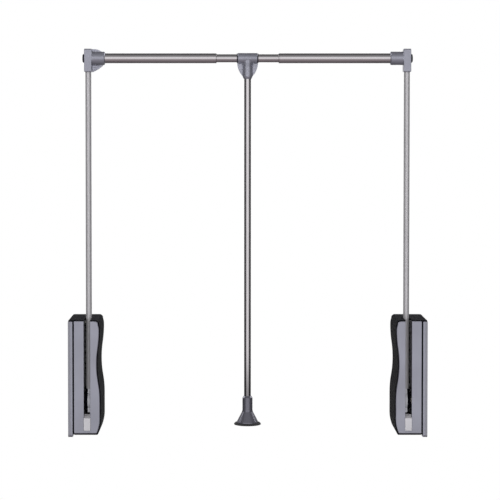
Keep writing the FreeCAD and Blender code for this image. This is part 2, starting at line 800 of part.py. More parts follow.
def corner_connector():
    """The moulded corner: an upright block for the arm and a level collar for the outer tube."""
    body = new_body("corner_connector", 0, 0, rail_z)
    front = -lift.block_front
    back = lift.block_front
    corner = lift.block_corner
    block = new_sketch(body, "YZ", block_left)
    outline(block, [
        (front, -lift.block_drop),
        (back, -lift.block_drop),
        (back, lift.block_rise - corner, corner * QUARTER_BOW),
        (back - corner, lift.block_rise),
        (front, lift.block_rise),
    ])
    pad(body, block, lift.block_width)
    bevel = lift.collar_chamfer
    collar_end = block_right + lift.collar_length
    collar = new_sketch(body, "XZ")
    outline(collar, [
        (block_right - OVERCUT, 0),
        (collar_end, 0),
        (collar_end, lift.collar_radius - bevel),
        (collar_end - bevel, lift.collar_radius),
        (block_right - OVERCUT, lift.collar_radius),
    ])
    turn(body, collar, "H_Axis")
    tube_bore = new_sketch(body, "XZ")
    outline(tube_bore, rod(lift.outer_radius + lift.slip, outer_start - lift.slip, collar_end + OVERCUT))
    turn(body, tube_bore, "H_Axis", "PartDesign::Groove")
    arm_bore = new_sketch(body, "XY", -lift.block_drop - OVERCUT)
    circle(arm_bore, pivot_x, 0, lift.arm_radius + lift.slip)
    pocket(body, arm_bore, lift.arm_socket + OVERCUT, backwards=True)
    cap_bore = new_sketch(body, "YZ", block_left - OVERCUT)
    circle(cap_bore, 0, 0, lift.cap_spigot_radius + lift.slip)
    pocket(body, cap_bore, lift.cap_spigot + OVERCUT + lift.slip, backwards=True)
    hole = lift.screw_radius + lift.slip
    back_hole = new_sketch(body, "XZ", -lift.block_front - OVERCUT)
    circle(back_hole, pivot_x, -lift.connector_screw_drop, hole)
    pocket(body, back_hole, lift.block_front + OVERCUT, backwards=True)
    collar_hole = new_sketch(body, "XY", -lift.collar_radius - OVERCUT)
    circle(collar_hole, collar_screw_x, 0, hole)
    pocket(body, collar_hole, lift.collar_radius, backwards=True)
    return body


def corner_cap():
    """The domed cap on the wall side of the corner."""
    dome = lift.cap_height
    rim = dome * 0.35
    flat_radius = lift.cap_radius - dome * 0.6
    section = [
        (-dome, 0),
        (lift.cap_spigot, 0),
        (lift.cap_spigot, lift.cap_spigot_radius),
        (0, lift.cap_spigot_radius),
        (0, lift.cap_radius),
        (-rim, lift.cap_radius, -dome * 0.12),
        (-dome, flat_radius),
    ]
    return turned_along("corner_cap", block_left, section, 0, rail_z)


def outer_tube():
    """Half of the rail's outer tube, from the corner connector towards the middle."""
    section = ring(outer_bore, lift.outer_radius, sized(0), outer_end - outer_start)
    return turned_along("outer_tube", outer_start, section, 0, rail_z)


def rail_bush():
    """The flanged guide in the open end of an outer tube."""
    bore = lift.inner_radius + lift.slip
    radius = outer_bore - lift.slip / 2
    section = [
        (-lift.rail_bush_length, bore),
        (lift.rail_bush_flange, bore),
        (lift.rail_bush_flange, lift.outer_radius - lift.touch_gap * 2),
        (0, lift.outer_radius),
        (0, radius),
        (-lift.rail_bush_length, radius),
    ]
    return turned_along("rail_bush", outer_end, section, 0, rail_z)


def lift_rack():
    """The toothed rack, with the seat that presses the spring."""
    body = new_body("lift_rack", pivot_x)
    half = lift.rack_width / 2
    near = lift.gear_radius + dedendum
    bar = new_sketch(body, "YZ", -half)
    rectangle(bar, near, near + lift.rack_depth, -lift.rack_foot, lift.seat_height + lift.seat_gauge / 2)
    pad(body, bar, lift.rack_width)
    seat_half = lift.coil_radius + lift.wire_radius + lift.touch_gap / 2
    seat = new_sketch(body, "XY", lift.seat_height)
    rectangle(seat, -seat_half, seat_half, lift.spring_back - seat_half, lift.spring_back + seat_half)
    pad(body, seat, lift.seat_gauge)
    tooth = new_sketch(body, "YZ", -half)
    foot = near + lift.touch_gap
    tip = lift.gear_radius - addendum
    foot_half = tooth_half + (foot - lift.gear_radius) * tooth_slope
    tip_half = tooth_half - addendum * tooth_slope
    middle = tooth_pitch * 1.5
    outline(tooth, [
        (tip, middle - tip_half),
        (foot, middle - foot_half),
        (foot, middle + foot_half),
        (tip, middle + tip_half),
    ])
    first_tooth = pad(body, tooth, lift.rack_width)
    teeth = body.newObject("PartDesign::LinearPattern", "Teeth")
    teeth.Originals = [first_tooth]
    teeth.Direction = (tooth, ["V_Axis"])
    teeth.Reversed = True
    bind(teeth, "Length", tooth_pitch * (lift.rack_teeth - 1))
    bind(teeth, "Occurrences", lift.rack_teeth)
    body.Tip = teeth
    return body


def rack_guide():
    """The nylon block that backs the rack against the gear's push."""
    body = new_body("rack_guide", pivot_x)
    half = lift.rack_width / 2
    near = lift.gear_radius + dedendum + lift.rack_depth + lift.touch_gap
    block = new_sketch(body, "YZ", -half)
    rectangle(block, near, lift.bracket_back - lift.bracket_gauge, -lift.rack_foot + lift.cup_gauge,
              lift.seat_height - lift.cup_gauge)
    pad(body, block, lift.rack_width)
    return body


def piston_rod():
    """The damper's rod, which stands on the rack's seat."""
    head = lift.piston_reach - lift.piston_head
    section = [
        (0, seat_top),
        (lift.piston_radius, seat_top),
        (lift.piston_radius, head),
        (lift.damper_bore - lift.slip, head),
        (lift.damper_bore - lift.slip, lift.piston_reach),
        (0, lift.piston_reach),
    ]
    return turned_upright("piston_rod", pivot_x, lift.spring_back, section)


def damper_cylinder():
    """The oil cylinder, closed at its top and bored for the piston rod at its foot."""
    foot = top_flange - lift.damper_length
    mouth = lift.piston_radius + lift.slip
    section = [
        (mouth, foot),
        (lift.damper_radius, foot),
        (lift.damper_radius, top_flange),
        (0, top_flange),
        (0, top_flange - lift.damper_cap),
        (lift.damper_bore, top_flange - lift.damper_cap),
        (lift.damper_bore, foot + lift.damper_cap),
        (mouth, foot + lift.damper_cap),
    ]
    return turned_upright("damper_cylinder", pivot_x, lift.spring_back, section)


def spring_seat():
    """The nylon washer between spring and bracket."""
    radius = lift.coil_radius + lift.wire_radius
    section = upright(ring(lift.damper_radius + lift.slip, radius, spring_top, lift.cup_gauge))
    return turned_upright("spring_seat", pivot_x, lift.spring_back, section)


def lift_spring():
    """The compression spring that lifts the arms."""
    body = new_body("lift_spring", pivot_x, lift.spring_back)
    wire = new_sketch(body, "XZ")
    circle(wire, lift.coil_radius, seat_top + lift.wire_radius + lift.slip, lift.wire_radius)
    coil = body.newObject("PartDesign::AdditiveHelix", "Coil")
    coil.Profile = wire
    coil.ReferenceAxis = (wire, ["V_Axis"])
    coil.Mode = "pitch-height-angle"
    bind(coil, "Pitch", lift.coil_pitch)
    bind(coil, "Height", spring_top - seat_top - lift.wire_radius * 2 - lift.slip * 2)
    return body


def bumper_top(depth):
    """Height of the lower bumper's top at a depth: it slopes like the lowered arm's underside."""
    slope = -cosine_of(lift.swing) / sine_of(lift.swing)
    return depth * slope - lift.arm_radius / sine_of(lift.swing) - lift.touch_gap * 1.5


def lower_bumper():
    """The light grey block at the foot of the slot."""
    body = new_body("lower_bumper", pivot_x)
    front = lift.housing_front + lift.bumper_proud
    back = front - lift.bumper_depth
    shelf = shell_front - lift.touch_gap / 2
    low = -lift.slot_foot - lift.bumper_height
    floor = lift.floor_gauge - lift.housing_foot
    side = new_sketch(body, "YZ", -lift.bumper_width / 2)
    outline(side, [
        (-front, low),
        (-shelf, low),
        (-shelf, floor),
        (-back, floor),
        (-back, bumper_top(-back)),
        (-front, bumper_top(-front)),
    ])
    pad(body, side, lift.bumper_width)
    return body


def upper_bumper():
    """The black stop behind the raised arm, hooked over the end of the slot."""
    body = new_body("upper_bumper", pivot_x)
    near = lift.arm_radius + lift.touch_gap
    under = lift.housing_top - lift.housing_wall
    side = new_sketch(body, "YZ", -lift.stop_width / 2)
    outline(side, [
        (near, lift.housing_top - lift.stop_height),
        (near + lift.stop_depth, lift.housing_top - lift.stop_height),
        (near + lift.stop_depth, under),
        (lift.slot_back, under),
        (lift.slot_back, lift.housing_top),
        (near, lift.housing_top),
    ])
    pad(body, side, lift.stop_width)
    return body


def left_web_plate():
    """The rounded stiffening plate behind the left corner."""
    body = new_body("left_web_plate", 0, 0, rail_z)
    start = block_right - lift.cap_height
    reach = block_right + lift.web_reach
    half_height = (lift.block_rise + lift.block_drop) / 2
    upper_bow = (lift.web_reach + half_height) / 2 * QUARTER_BOW
    lower_bow = upper_bow * 0.4
    plate = new_sketch(body, "XZ", -lift.block_front)
    outline(plate, [
        (start, -lift.block_drop),
        (block_right, -lift.block_drop, lower_bow),
        (reach, (lift.block_rise - lift.block_drop) / 2, upper_bow),
        (block_right, lift.block_rise),
        (start, lift.block_rise),
    ])
    pad(body, plate, lift.web_gauge, backwards=True)
    return body


def inner_tube():
    """The middle tube, which slides in both outer tubes."""
    half = lift.inner_length / 2
    bore = lift.inner_radius - lift.inner_wall
    return turned_along("inner_tube", middle_x, ring(bore, lift.inner_radius, -half, half * 2), 0, rail_z)


def end_bushes():
    """Sleeves on the hidden ends of the inner tube, which run inside the outer tubes."""
    half = lift.inner_length / 2
    bore = lift.inner_radius + lift.slip / 2
    radius = outer_bore - lift.slip
    length = lift.end_bush_length
    sleeves = []
    for start in (-half, half - length):
        sleeves.append(turned_along("end_bush", middle_x, ring(bore, radius, start, length), 0, rail_z))
    return group("inner_tube_bushes", sleeves)


def tee_connector():
    """The moulded T: a barrel that turns on the rail, a tapered stem and two web wings."""
    body = new_body("tee_connector", middle_x, 0, rail_z)
    half = lift.tee_length / 2
    bevel = lift.tee_chamfer
    barrel = new_sketch(body, "XZ")
    outline(barrel, [
        (-half, 0),
        (half, 0),
        (half, lift.tee_radius - bevel),
        (half - bevel, lift.tee_radius),
        (bevel - half, lift.tee_radius),
        (-half, lift.tee_radius - bevel),
    ])
    turn(body, barrel, "H_Axis")
    stem = new_sketch(body, "XZ")
    mouth = -lift.stem_drop - lift.stem_taper
    outline(stem, [
        (0, mouth),
        (lift.stem_mouth_radius, mouth),
        (lift.stem_radius, -lift.stem_drop),
        (lift.stem_radius, 0),
        (0, 0),
    ])
    turn(body, stem, "V_Axis")
    wings = new_sketch(body, "XZ", -lift.wing_gauge / 2)
    reach = lift.wing_reach
    low_half = lift.stem_radius - OVERCUT
    wing_top = -lift.stop_ring_radius - lift.touch_gap * 2
    outline(wings, [
        (-low_half, -lift.wing_drop),
        (low_half, -lift.wing_drop, lift.wing_bow),
        (reach, wing_top),
        (-reach, wing_top, lift.wing_bow),
    ])
    pad(body, wings, lift.wing_gauge)
    bore = new_sketch(body, "XZ")
    bore_radius = lift.inner_radius + lift.slip * 2 + lift.liner_gauge
    outline(bore, rod(bore_radius, -half - OVERCUT, half + OVERCUT))
    turn(body, bore, "H_Axis", "PartDesign::Groove")
    socket = new_sketch(body, "XY", mouth - OVERCUT)
    circle(socket, 0, 0, lift.rod_radius + lift.slip)
    pocket(body, socket, -mouth - lift.rod_top + OVERCUT + lift.touch_gap, backwards=True)
    screw_hole = new_sketch(body, "XZ", -lift.stem_radius - OVERCUT)
    circle(screw_hole, 0, -lift.tee_screw_drop, lift.screw_radius + lift.slip)
    pocket(body, screw_hole, lift.stem_radius, backwards=True)
    return body


def tee_liners():
    """Thin plain bearings between the T and the inner tube."""
    bore = lift.inner_radius + lift.slip
    half = lift.tee_length / 2
    sleeves = []
    for start in (-half, half - lift.liner_length):
        section = ring(bore, bore + lift.liner_gauge, start, lift.liner_length)
        sleeves.append(turned_along("liner", middle_x, section, 0, rail_z))
    return group("tee_liners", sleeves)


def tee_stop_rings():
    """Rings on the inner tube that keep the T in the middle."""
    bore = lift.inner_radius + lift.slip / 2
    half = lift.tee_length / 2 + lift.slip * 2
    width = lift.stop_ring_width - lift.slip * 2
    rings = []
    for start in (-half - width, half):
        section = ring(bore, lift.stop_ring_radius, start, width)
        rings.append(turned_along("stop_ring", middle_x, section, 0, rail_z))
    return group("tee_stop_rings", rings)


def tee_screw():
    """The grub screw that clamps the pull rod in the stem, from behind."""
    body = new_body("tee_screw", middle_x, 0, rail_z - lift.tee_screw_drop)
    shank = circle(new_sketch(body, "XZ", -lift.stem_radius + lift.touch_gap), 0, 0, lift.screw_radius)
    pad(body, shank, lift.stem_radius - lift.touch_gap - lift.rod_radius - lift.slip)
    return body


def pull_rod():
    """The handle's tube, from the T down into the grip."""
    foot = -lift.grip_top - lift.grip_socket + lift.touch_gap
    length = lift.grip_top - lift.rod_top + lift.grip_socket - lift.touch_gap
    section = upright(ring(lift.rod_radius - lift.rod_wall, lift.rod_radius, foot, length))
    return turned_upright("pull_rod", middle_x, 0, section, rail_z)


def grip_heights():
    """Heights of the grip's steps below the rail axis: top, neck, cone and foot."""
    top = -lift.grip_top
    neck = top - lift.grip_neck
    cone = neck - lift.grip_cone
    return top, neck, cone, cone - lift.grip_skirt


def grip_bell():
    """The grip: a collar with a chamfered top that opens into a cone."""
    top, neck, cone, foot = grip_heights()
    socket = lift.rod_radius + lift.slip
    section = [
        (0, foot + lift.pad_height),
        (lift.pad_radius + lift.slip, foot + lift.pad_height),
        (lift.pad_radius + lift.slip, foot),
        (lift.grip_cone_radius, foot),
        (lift.grip_cone_radius, cone),
        (lift.grip_neck_radius, neck),
        (lift.grip_neck_radius, top - lift.grip_chamfer),
        (lift.grip_neck_radius - lift.grip_chamfer, top),
        (socket, top),
        (socket, top - lift.grip_socket),
        (0, top - lift.grip_socket),
    ]
    return turned_upright("grip_bell", middle_x, 0, section, rail_z)


def grip_rim():
    """The black ring round the foot of the grip."""
    low = grip_heights()[3] + lift.touch_gap
    high = low + lift.rim_height
    bore = lift.grip_cone_radius + lift.slip
    edge = lift.rim_round
    section = [
        (bore, low),
        (lift.rim_radius - edge, low, edge * QUARTER_BOW),
        (lift.rim_radius, low + edge),
        (lift.rim_radius, high - edge * 2, edge * 0.4),
        (lift.rim_radius - edge * 2, high - edge * 0.5),
        (bore, high),
    ]
    return turned_upright("grip_rim", middle_x, 0, section, rail_z)


def grip_pad():
    """The soft disc under the grip."""
    foot = grip_heights()[3]
    section = upright(rod(lift.pad_radius, foot, foot + lift.pad_height - lift.slip))
    return turned_upright("grip_pad", middle_x, 0, section, rail_z)


SIDE_PIECES = (
    base_tray, shell, fascia, steel_bracket, pivot_axle, arm_hub, arm_tube, corner_connector, corner_cap,
    outer_tube, rail_bush, lift_rack, rack_guide, piston_rod, damper_cylinder, spring_seat, lift_spring,
    lower_bumper, upper_bumper,
)
SIDE_GROUPS = (bracket_rivets, axle_circlips, pivot_spacers, pivot_bushes, arm_screws)
MIDDLE_PIECES = (
    left_web_plate, inner_tube, tee_connector, tee_screw, pull_rod, grip_bell, grip_rim, grip_pad,
)
MIDDLE_GROUPS = (end_bushes, tee_liners, tee_stop_rings)


def build():
    """Makes the left side, mirrors it to the right wall, and adds the middle."""
    for make in SIDE_PIECES:
        keep(f"left_{make.__name__}", make())
    for make in SIDE_GROUPS:
        make("left")
    for label in list(pieces):
        twin = doc.addObject("Part::Mirroring", "Twin")
        twin.Source = pieces[label]
        twin.Normal = Vector(1, 0, 0)
        bind(twin, ".Base.x", middle_x)
        keep(label.replace("left_", "right_"), twin)
    for make in MIDDLE_PIECES:
        keep(make.__name__, make())
    for make in MIDDLE_GROUPS:
        make()
    doc.recompute()


def check():
    """Stops if any object failed or any piece isn't a sound solid."""
    for item in doc.Objects:
        if "Invalid" in item.State or "Error" in item.State:
            raise RuntimeError(f"{item.Name} ({item.Label}) failed: {item.State}")
    for label, piece in pieces.items():
        shape = piece.Shape
        if shape.isNull() or not shape.isValid() or not shape.Solids:
            raise RuntimeError(f"{label} is not a sound solid")


def export():
    os.makedirs("parts", exist_ok=True)
    for label, piece in pieces.items():
        piece.Shape.exportStep(f"parts/{label}.step")
        box = piece.Shape.BoundBox
        print(f"{label:26s} solids {len(piece.Shape.Solids)}  volume {piece.Shape.Volume:10.1f}"
              f"  x {box.XMin:7.1f} {box.XMax:7.1f}  y {box.YMin:7.1f} {box.YMax:7.1f}"
              f"  z {box.ZMin:7.1f} {box.ZMax:7.1f}")


build()
check()
export()
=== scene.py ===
# %% [markdown]
# A pull-down closet rod is a lift for clothes: two housings on the wardrobe's sides, two sprung arms,
# a rail that telescopes between them, and a rod to pull the rail down by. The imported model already
# holds every piece at its real size and place. This lesson dresses it: the light first, then the
# finishes, and then meshes with rounded edges, fillets and moulded forms for the pieces that show.

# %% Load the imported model
import json
import math

import bmesh
import bpy
from mathutils import Matrix, Vector

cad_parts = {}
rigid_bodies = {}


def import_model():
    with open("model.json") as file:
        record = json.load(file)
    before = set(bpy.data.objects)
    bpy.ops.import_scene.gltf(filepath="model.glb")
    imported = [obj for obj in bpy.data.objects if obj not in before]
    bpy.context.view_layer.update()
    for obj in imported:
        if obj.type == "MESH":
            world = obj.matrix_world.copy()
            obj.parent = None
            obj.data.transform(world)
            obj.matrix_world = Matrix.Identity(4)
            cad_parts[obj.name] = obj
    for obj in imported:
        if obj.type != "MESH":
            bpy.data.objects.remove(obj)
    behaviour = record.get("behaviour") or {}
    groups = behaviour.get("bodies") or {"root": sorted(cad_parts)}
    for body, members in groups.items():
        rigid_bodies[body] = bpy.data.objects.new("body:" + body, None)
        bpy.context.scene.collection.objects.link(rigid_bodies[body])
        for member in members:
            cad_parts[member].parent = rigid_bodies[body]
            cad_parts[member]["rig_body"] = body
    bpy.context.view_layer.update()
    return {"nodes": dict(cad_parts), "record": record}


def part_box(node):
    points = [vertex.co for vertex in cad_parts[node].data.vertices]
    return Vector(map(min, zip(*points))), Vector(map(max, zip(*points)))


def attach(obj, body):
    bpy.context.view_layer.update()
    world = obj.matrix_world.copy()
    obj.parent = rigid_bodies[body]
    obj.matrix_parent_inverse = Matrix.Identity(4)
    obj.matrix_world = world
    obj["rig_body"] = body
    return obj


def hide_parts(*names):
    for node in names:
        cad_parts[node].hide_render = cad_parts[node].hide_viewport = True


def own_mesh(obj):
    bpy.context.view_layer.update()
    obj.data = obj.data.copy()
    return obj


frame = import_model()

nodes = frame["nodes"]
print("pieces in the packed model:", len(nodes))

# %% [markdown]
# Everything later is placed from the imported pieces, not from numbers typed twice: the walls, the rail,
# the left arm and the front of the housings. Lengths are in metres, so a millimetre gets a name.

# %% Places that come from the model
mm = 0.001
wall_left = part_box("left_base_tray")[0].x
wall_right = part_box("right_base_tray")[1].x
middle = (wall_left + wall_right) / 2
rail_low, rail_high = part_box("inner_tube")
rail_z = (rail_low.z + rail_high.z) / 2
arm_low, arm_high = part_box("left_arm_tube")
arm_x = (arm_low.x + arm_high.x) / 2
housing_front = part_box("left_fascia")[0].y
print("wall to wall", round(wall_right - wall_left, 4), "m, rail at", round(rail_z, 4), "m")

# %% [markdown]
# The camera stands four metres out, a little left of the middle, and looks almost level at the lift.
# A long lens keeps the uprights parallel. Tilting the camera far down would make them lean together,
# so it tilts by two degrees only, and the lens is shifted for the rest, as for a picture of a house.

# %% Camera
camera_side_step = 42.3 * mm
camera_distance = 4.0
camera_height = 605.5 * mm
camera_tilt = 2.0
camera_data = bpy.data.cameras.new("front_camera")
camera_data.lens = 132.5
camera_data.sensor_width = 36.0
camera_data.shift_x = 0.0432
camera_data.shift_y = -0.1168
camera = bpy.data.objects.new("front_camera", camera_data)
camera.location = (middle - camera_side_step, housing_front - camera_distance, camera_height)
camera.rotation_euler = (math.radians(90 - camera_tilt), 0, 0)
scene = bpy.context.scene
scene.collection.objects.link(camera)
scene.camera = camera
print("camera at", tuple(round(v, 3) for v in camera.location))

# %% [markdown]
# Satin metal shows what stands around it. In a studio that is a broad white screen behind the camera,
# which fades to grey cards above and below it, dark curtains at both sides, and a white backdrop
# straight behind the product. Behind the product there are also two pale cards, one low and one high,
# for a viewer who walks round the lift. The world holds all of them as soft-edged zones, read from the
# direction of a reflected ray: one ramp for the angle above or below the level, one for how far the
# ray goes sideways, and one for the backdrop.

# %% World
world = bpy.data.worlds.new("studio")
scene.world = world
world.use_nodes = True
sky = world.node_tree
sky.nodes.clear()
scene.view_settings.view_transform = "Standard"


def wire(tree, source, target):
    """Joins an output to an input."""
    tree.links.new(source, target)


def sum_of(tree, operation, first, second=None):
    """One arithmetic node: each side is a number or another node's output."""
    node = tree.nodes.new("ShaderNodeMath")
    node.operation = operation
    for socket, value in zip(node.inputs, (first, second)):
        if value is None:
            continue
        if isinstance(value, (int, float)):
            socket.default_value = value
        else:
            wire(tree, value, socket)
    return node.outputs[0]


def ramp_of(tree, factor, stops):
    """A colour ramp with stops (place, colour)."""
    node = tree.nodes.new("ShaderNodeValToRGB")
    marks = node.color_ramp.elements
    for index, (place, colour) in enumerate(stops):
        mark = marks[index] if index < len(marks) else marks.new(place)
        mark.position = place
        mark.color = (*colour, 1) if isinstance(colour, tuple) else (colour, colour, colour, 1)
    wire(tree, factor, node.inputs["Fac"])
    return node.outputs["Color"]


direction = sky.nodes.new("ShaderNodeTexCoord").outputs["Generated"]
split = sky.nodes.new("ShaderNodeSeparateXYZ")
wire(sky, direction, split.inputs[0])
towards_viewer = sum_of(sky, "MULTIPLY", split.outputs["Y"], -1.0)
height_angle = sum_of(sky, "ARCTAN2", split.outputs["Z"], towards_viewer)
height_share = sum_of(sky, "ADD", sum_of(sky, "DIVIDE", height_angle, 2 * math.pi), 0.5)


def turn_share(degrees):
    """Where an angle above the viewer's level falls on the ramp: -180 is 0 and 180 is 1."""
    return degrees / 360 + 0.5


dim = 0.035
screen = 1.2
zones = ramp_of(sky, height_share, [
    (turn_share(-180), dim),
    (turn_share(-172), dim),
    (turn_share(-163), 0.42),
    (turn_share(-146), 0.30),
    (turn_share(-134), 0.09),
    (turn_share(-113), (0.135, 0.115, 0.122)),
    (turn_share(-76), (0.23, 0.20, 0.21)),
    (turn_share(-48), (0.34, 0.30, 0.312)),
    (turn_share(-24), (0.52, 0.47, 0.485)),
    (turn_share(-13), screen * 0.58),
    (turn_share(-7), screen * 0.94),
    (turn_share(1), screen),
    (turn_share(17), screen),
    (turn_share(31), screen * 0.48),
    (turn_share(48), screen * 0.30),
    (turn_share(76), screen * 0.19),
    (turn_share(104), screen * 0.10),
    (turn_share(126), dim),
    (turn_share(140), dim),
    (turn_share(152), 0.34),
    (turn_share(165), 0.42),
    (turn_share(173), dim),
    (turn_share(180), dim),
])
sideways = sum_of(sky, "ABSOLUTE", split.outputs["X"])
curtain = ramp_of(sky, sideways, [(0.0, 1.0), (0.56, 1.0), (0.78, 0.12), (1.0, 0.12)])
zoned = sky.nodes.new("ShaderNodeMix")
zoned.data_type = "RGBA"
zoned.blend_type = "MULTIPLY"
zoned.inputs["Factor"].default_value = 1.0
wire(sky, zones, zoned.inputs["A"])
wire(sky, curtain, zoned.inputs["B"])
backdrop_edge = sum_of(sky, "ADD", sum_of(sky, "MULTIPLY", towards_viewer, 0.5), 0.5)
backdrop_share = ramp_of(sky, backdrop_edge, [(0.0, 1.0), (0.036, 1.0), (0.066, 0.0), (1.0, 0.0)])
print("zones of light in the world: screen", screen, "and dark", dim)

# %% [markdown]
# Only glossy rays see the zones. Matt surfaces get an even grey sky, so that a plastic keeps the colour
# that it is written with. The camera, and rays that pass through a piece, meet plain white.

# %% What each kind of ray meets
even_sky = 0.13
grey = sky.nodes.new("ShaderNodeBackground")
grey.inputs["Color"].default_value = (1.0, 0.99, 1.0, 1)
grey.inputs["Strength"].default_value = even_sky
studio = sky.nodes.new("ShaderNodeBackground")
wire(sky, zoned.outputs["Result"], studio.inputs["Color"])
white = sky.nodes.new("ShaderNodeBackground")
white.inputs["Color"].default_value = (1, 1, 1, 1)
rays = sky.nodes.new("ShaderNodeLightPath")


def either(tree, share, first, second):
    """Mixes two shaders: share 0 gives the first."""
    node = tree.nodes.new("ShaderNodeMixShader")
    wire(tree, share, node.inputs[0])
    wire(tree, first, node.inputs[1])
    wire(tree, second, node.inputs[2])
    return node.outputs[0]


reflected = either(sky, backdrop_share, studio.outputs[0], white.outputs[0])
lit = either(sky, rays.outputs["Is Glossy Ray"], grey.outputs[0], reflected)
seen_white = sum_of(sky, "MAXIMUM", rays.outputs["Is Camera Ray"], rays.outputs["Is Transmission Ray"])
world_output = sky.nodes.new("ShaderNodeOutputWorld")
wire(sky, either(sky, seen_white, lit, white.outputs[0]), world_output.inputs["Surface"])
print("sky for matt surfaces:", even_sky)

# %% [markdown]
# Six square lamps light the matt surfaces. The front lamp stands far out, so that its light reaches
# into both slots. A key from the left and a weaker fill from the right give the round parts a lit and
# a shaded side. A high lamp behind and two at the rear corners light the backs, the wall sides and the
# floor. The zones already draw the highlights seen from the front, so metal doesn't show the lamps,
# except the two at the rear corners, which brighten it from the side, from behind and swung down.

# %% Lamps
lamps = {
    # name: (place, side in metres, watts)
    "front": ((middle, -8.0, 1.1), 1.4, 405.0),
    "key": ((middle - 2.1, -3.2, 1.3), 1.4, 40.0),
    "fill": ((middle + 2.1, -3.2, 0.5), 1.4, 20.0),
    "back": ((middle + 0.5, 3.2, 3.0), 2.4, 180.0),
    "left": ((middle - 3.4, 1.8, 2.9), 2.4, 70.0),
    "right": ((middle + 3.4, 1.8, 2.9), 2.4, 70.0),
}
shown_in_metal = ("left", "right")
aim = Vector((middle, 0, 0.35))
for name, (spot, side, watts) in lamps.items():
    lamp = bpy.data.lights.new(name, "AREA")
    lamp.energy = watts
    lamp.size = side
    stand = bpy.data.objects.new(name, lamp)
    stand.location = spot
    stand.rotation_euler = (aim - Vector(spot)).to_track_quat("-Z", "Y").to_euler()
    stand.visible_glossy = name in shown_in_metal
    scene.collection.objects.link(stand)
print("lamps:", ", ".join(lamps))

# %% [markdown]
# The floor lies well below the housings, because the rail and the rod swing down towards it when the
# lift is pulled out. It is a plain pale sheet that keeps the lift's soft shadow. It throws no light
# back up, because undersides stay dark when a product hangs high above its floor.

# %% Floor
floor_height = -1.15
floor_half = 4.2
floor_mesh = bpy.data.meshes.new("floor")
sheet = bmesh.new()
bmesh.ops.create_grid(sheet, x_segments=8, y_segments=8, size=floor_half)
bmesh.ops.translate(sheet, vec=(middle, 0.1, floor_height), verts=sheet.verts)
sheet.to_mesh(floor_mesh)
sheet.free()
floor = bpy.data.objects.new("floor", floor_mesh)
scene.collection.objects.link(floor)
paint = bpy.data.materials.new("pale_floor")
paint.use_nodes = True
floor_shader = paint.node_tree.nodes["Principled BSDF"]
floor_shader.inputs["Base Color"].default_value = (0.9, 0.9, 0.9, 1)
floor_shader.inputs["Roughness"].default_value = 0.8
floor_mesh.materials.append(paint)
floor.visible_glossy = False
floor.visible_diffuse = False
print("floor at", floor_height, "m")

# %% [markdown]
# Every finish is a small graph of its own. Moulded plastic has a fine grain from the tool, slow
# drifts in tone where it cooled unevenly, and edges that hands have rubbed a little paler. Plated tube
# has fine lines along the way it was drawn. All patterns are laid out in object space, in metres, so
# they keep their scale on every piece and stay put when the piece moves.

# %% Tools for the finishes
materials = {}


def plain_shader(name):
    """Starts a material and returns its tree and main shader."""
    material = bpy.data.materials.new(name)
    material.use_nodes = True
    materials[name] = material
    return material.node_tree, material.node_tree.nodes["Principled BSDF"]


def place_in_object(tree, stretch=(1, 1, 1)):
    """Object coordinates, squeezed along an axis where a pattern is drawn out."""
    where = tree.nodes.new("ShaderNodeTexCoord").outputs["Object"]
    mapping = tree.nodes.new("ShaderNodeMapping")
    mapping.inputs["Scale"].default_value = stretch
    wire(tree, where, mapping.inputs["Vector"])
    return mapping.outputs["Vector"]


def noise(tree, where, per_metre, detail=3.0, roughness=0.5):
    """Cloudy noise with so many features to the metre."""
    node = tree.nodes.new("ShaderNodeTexNoise")
    node.inputs["Scale"].default_value = per_metre
    node.inputs["Detail"].default_value = detail
    node.inputs["Roughness"].default_value = roughness
    wire(tree, where, node.inputs["Vector"])
    return node.outputs["Fac"]


def between(tree, factor, low, high):
    """Spreads the middle of a noise between two values."""
    node = tree.nodes.new("ShaderNodeMapRange")
    node.inputs["From Min"].default_value = 0.3
    node.inputs["From Max"].default_value = 0.7
    node.inputs["To Min"].default_value = low
    node.inputs["To Max"].default_value = high
    wire(tree, factor, node.inputs["Value"])
    return node.outputs["Result"]


def shade(colour, factor):
    """A colour made darker or paler by a factor."""
    return tuple(channel * factor for channel in colour)


def blend_colours(tree, factor, first, second):
    """Mixes two colours: each is a tuple or another node's output."""
    node = tree.nodes.new("ShaderNodeMix")
    node.data_type = "RGBA"
    for socket, value in ((node.inputs["A"], first), (node.inputs["B"], second)):
        if isinstance(value, tuple):
            socket.default_value = (*value, 1)
        else:
            wire(tree, value, socket)
    wire(tree, factor, node.inputs["Factor"])
    return node.outputs["Result"]


def raise_bumps(tree, shader, heights, depth, strength):
    """Turns noises into one bumped normal; each is added at its own share of the depth in metres."""
    total = None
    for height, share in heights:
        scaled = sum_of(tree, "MULTIPLY", height, share)
        total = scaled if total is None else sum_of(tree, "ADD", total, scaled)
    bump = tree.nodes.new("ShaderNodeBump")
    bump.inputs["Distance"].default_value = depth
    bump.inputs["Strength"].default_value = strength
    wire(tree, total, bump.inputs["Height"])
    wire(tree, bump.outputs["Normal"], shader.inputs["Normal"])


def edge_wear(tree, reach):
    """Marks sharp edges: where a rounded copy of the surface would turn away from the real one."""
    rounded = tree.nodes.new("ShaderNodeBevel")
    rounded.samples = 4
    rounded.inputs["Radius"].default_value = reach
    flat = tree.nodes.new("ShaderNodeNewGeometry").outputs["Normal"]
    likeness = tree.nodes.new("ShaderNodeVectorMath")
    likeness.operation = "DOT_PRODUCT"
    wire(tree, rounded.outputs["Normal"], likeness.inputs[0])
    wire(tree, flat, likeness.inputs[1])
    return ramp_of(tree, likeness.outputs["Value"], [(0.75, 1.0), (0.985, 0.0)])


# %% [markdown]
# The moulded plastics share one recipe, because they come from the same kind of tool: base tone, a
# slow drift, a spark-eroded grain of about a third of a millimetre, and pale rubbed edges. The
# colour, the gloss and the depth of the grain differ. The greys hold metal powder, so a share of
# their surface answers as metal does, and the black ones hardly shine at all.

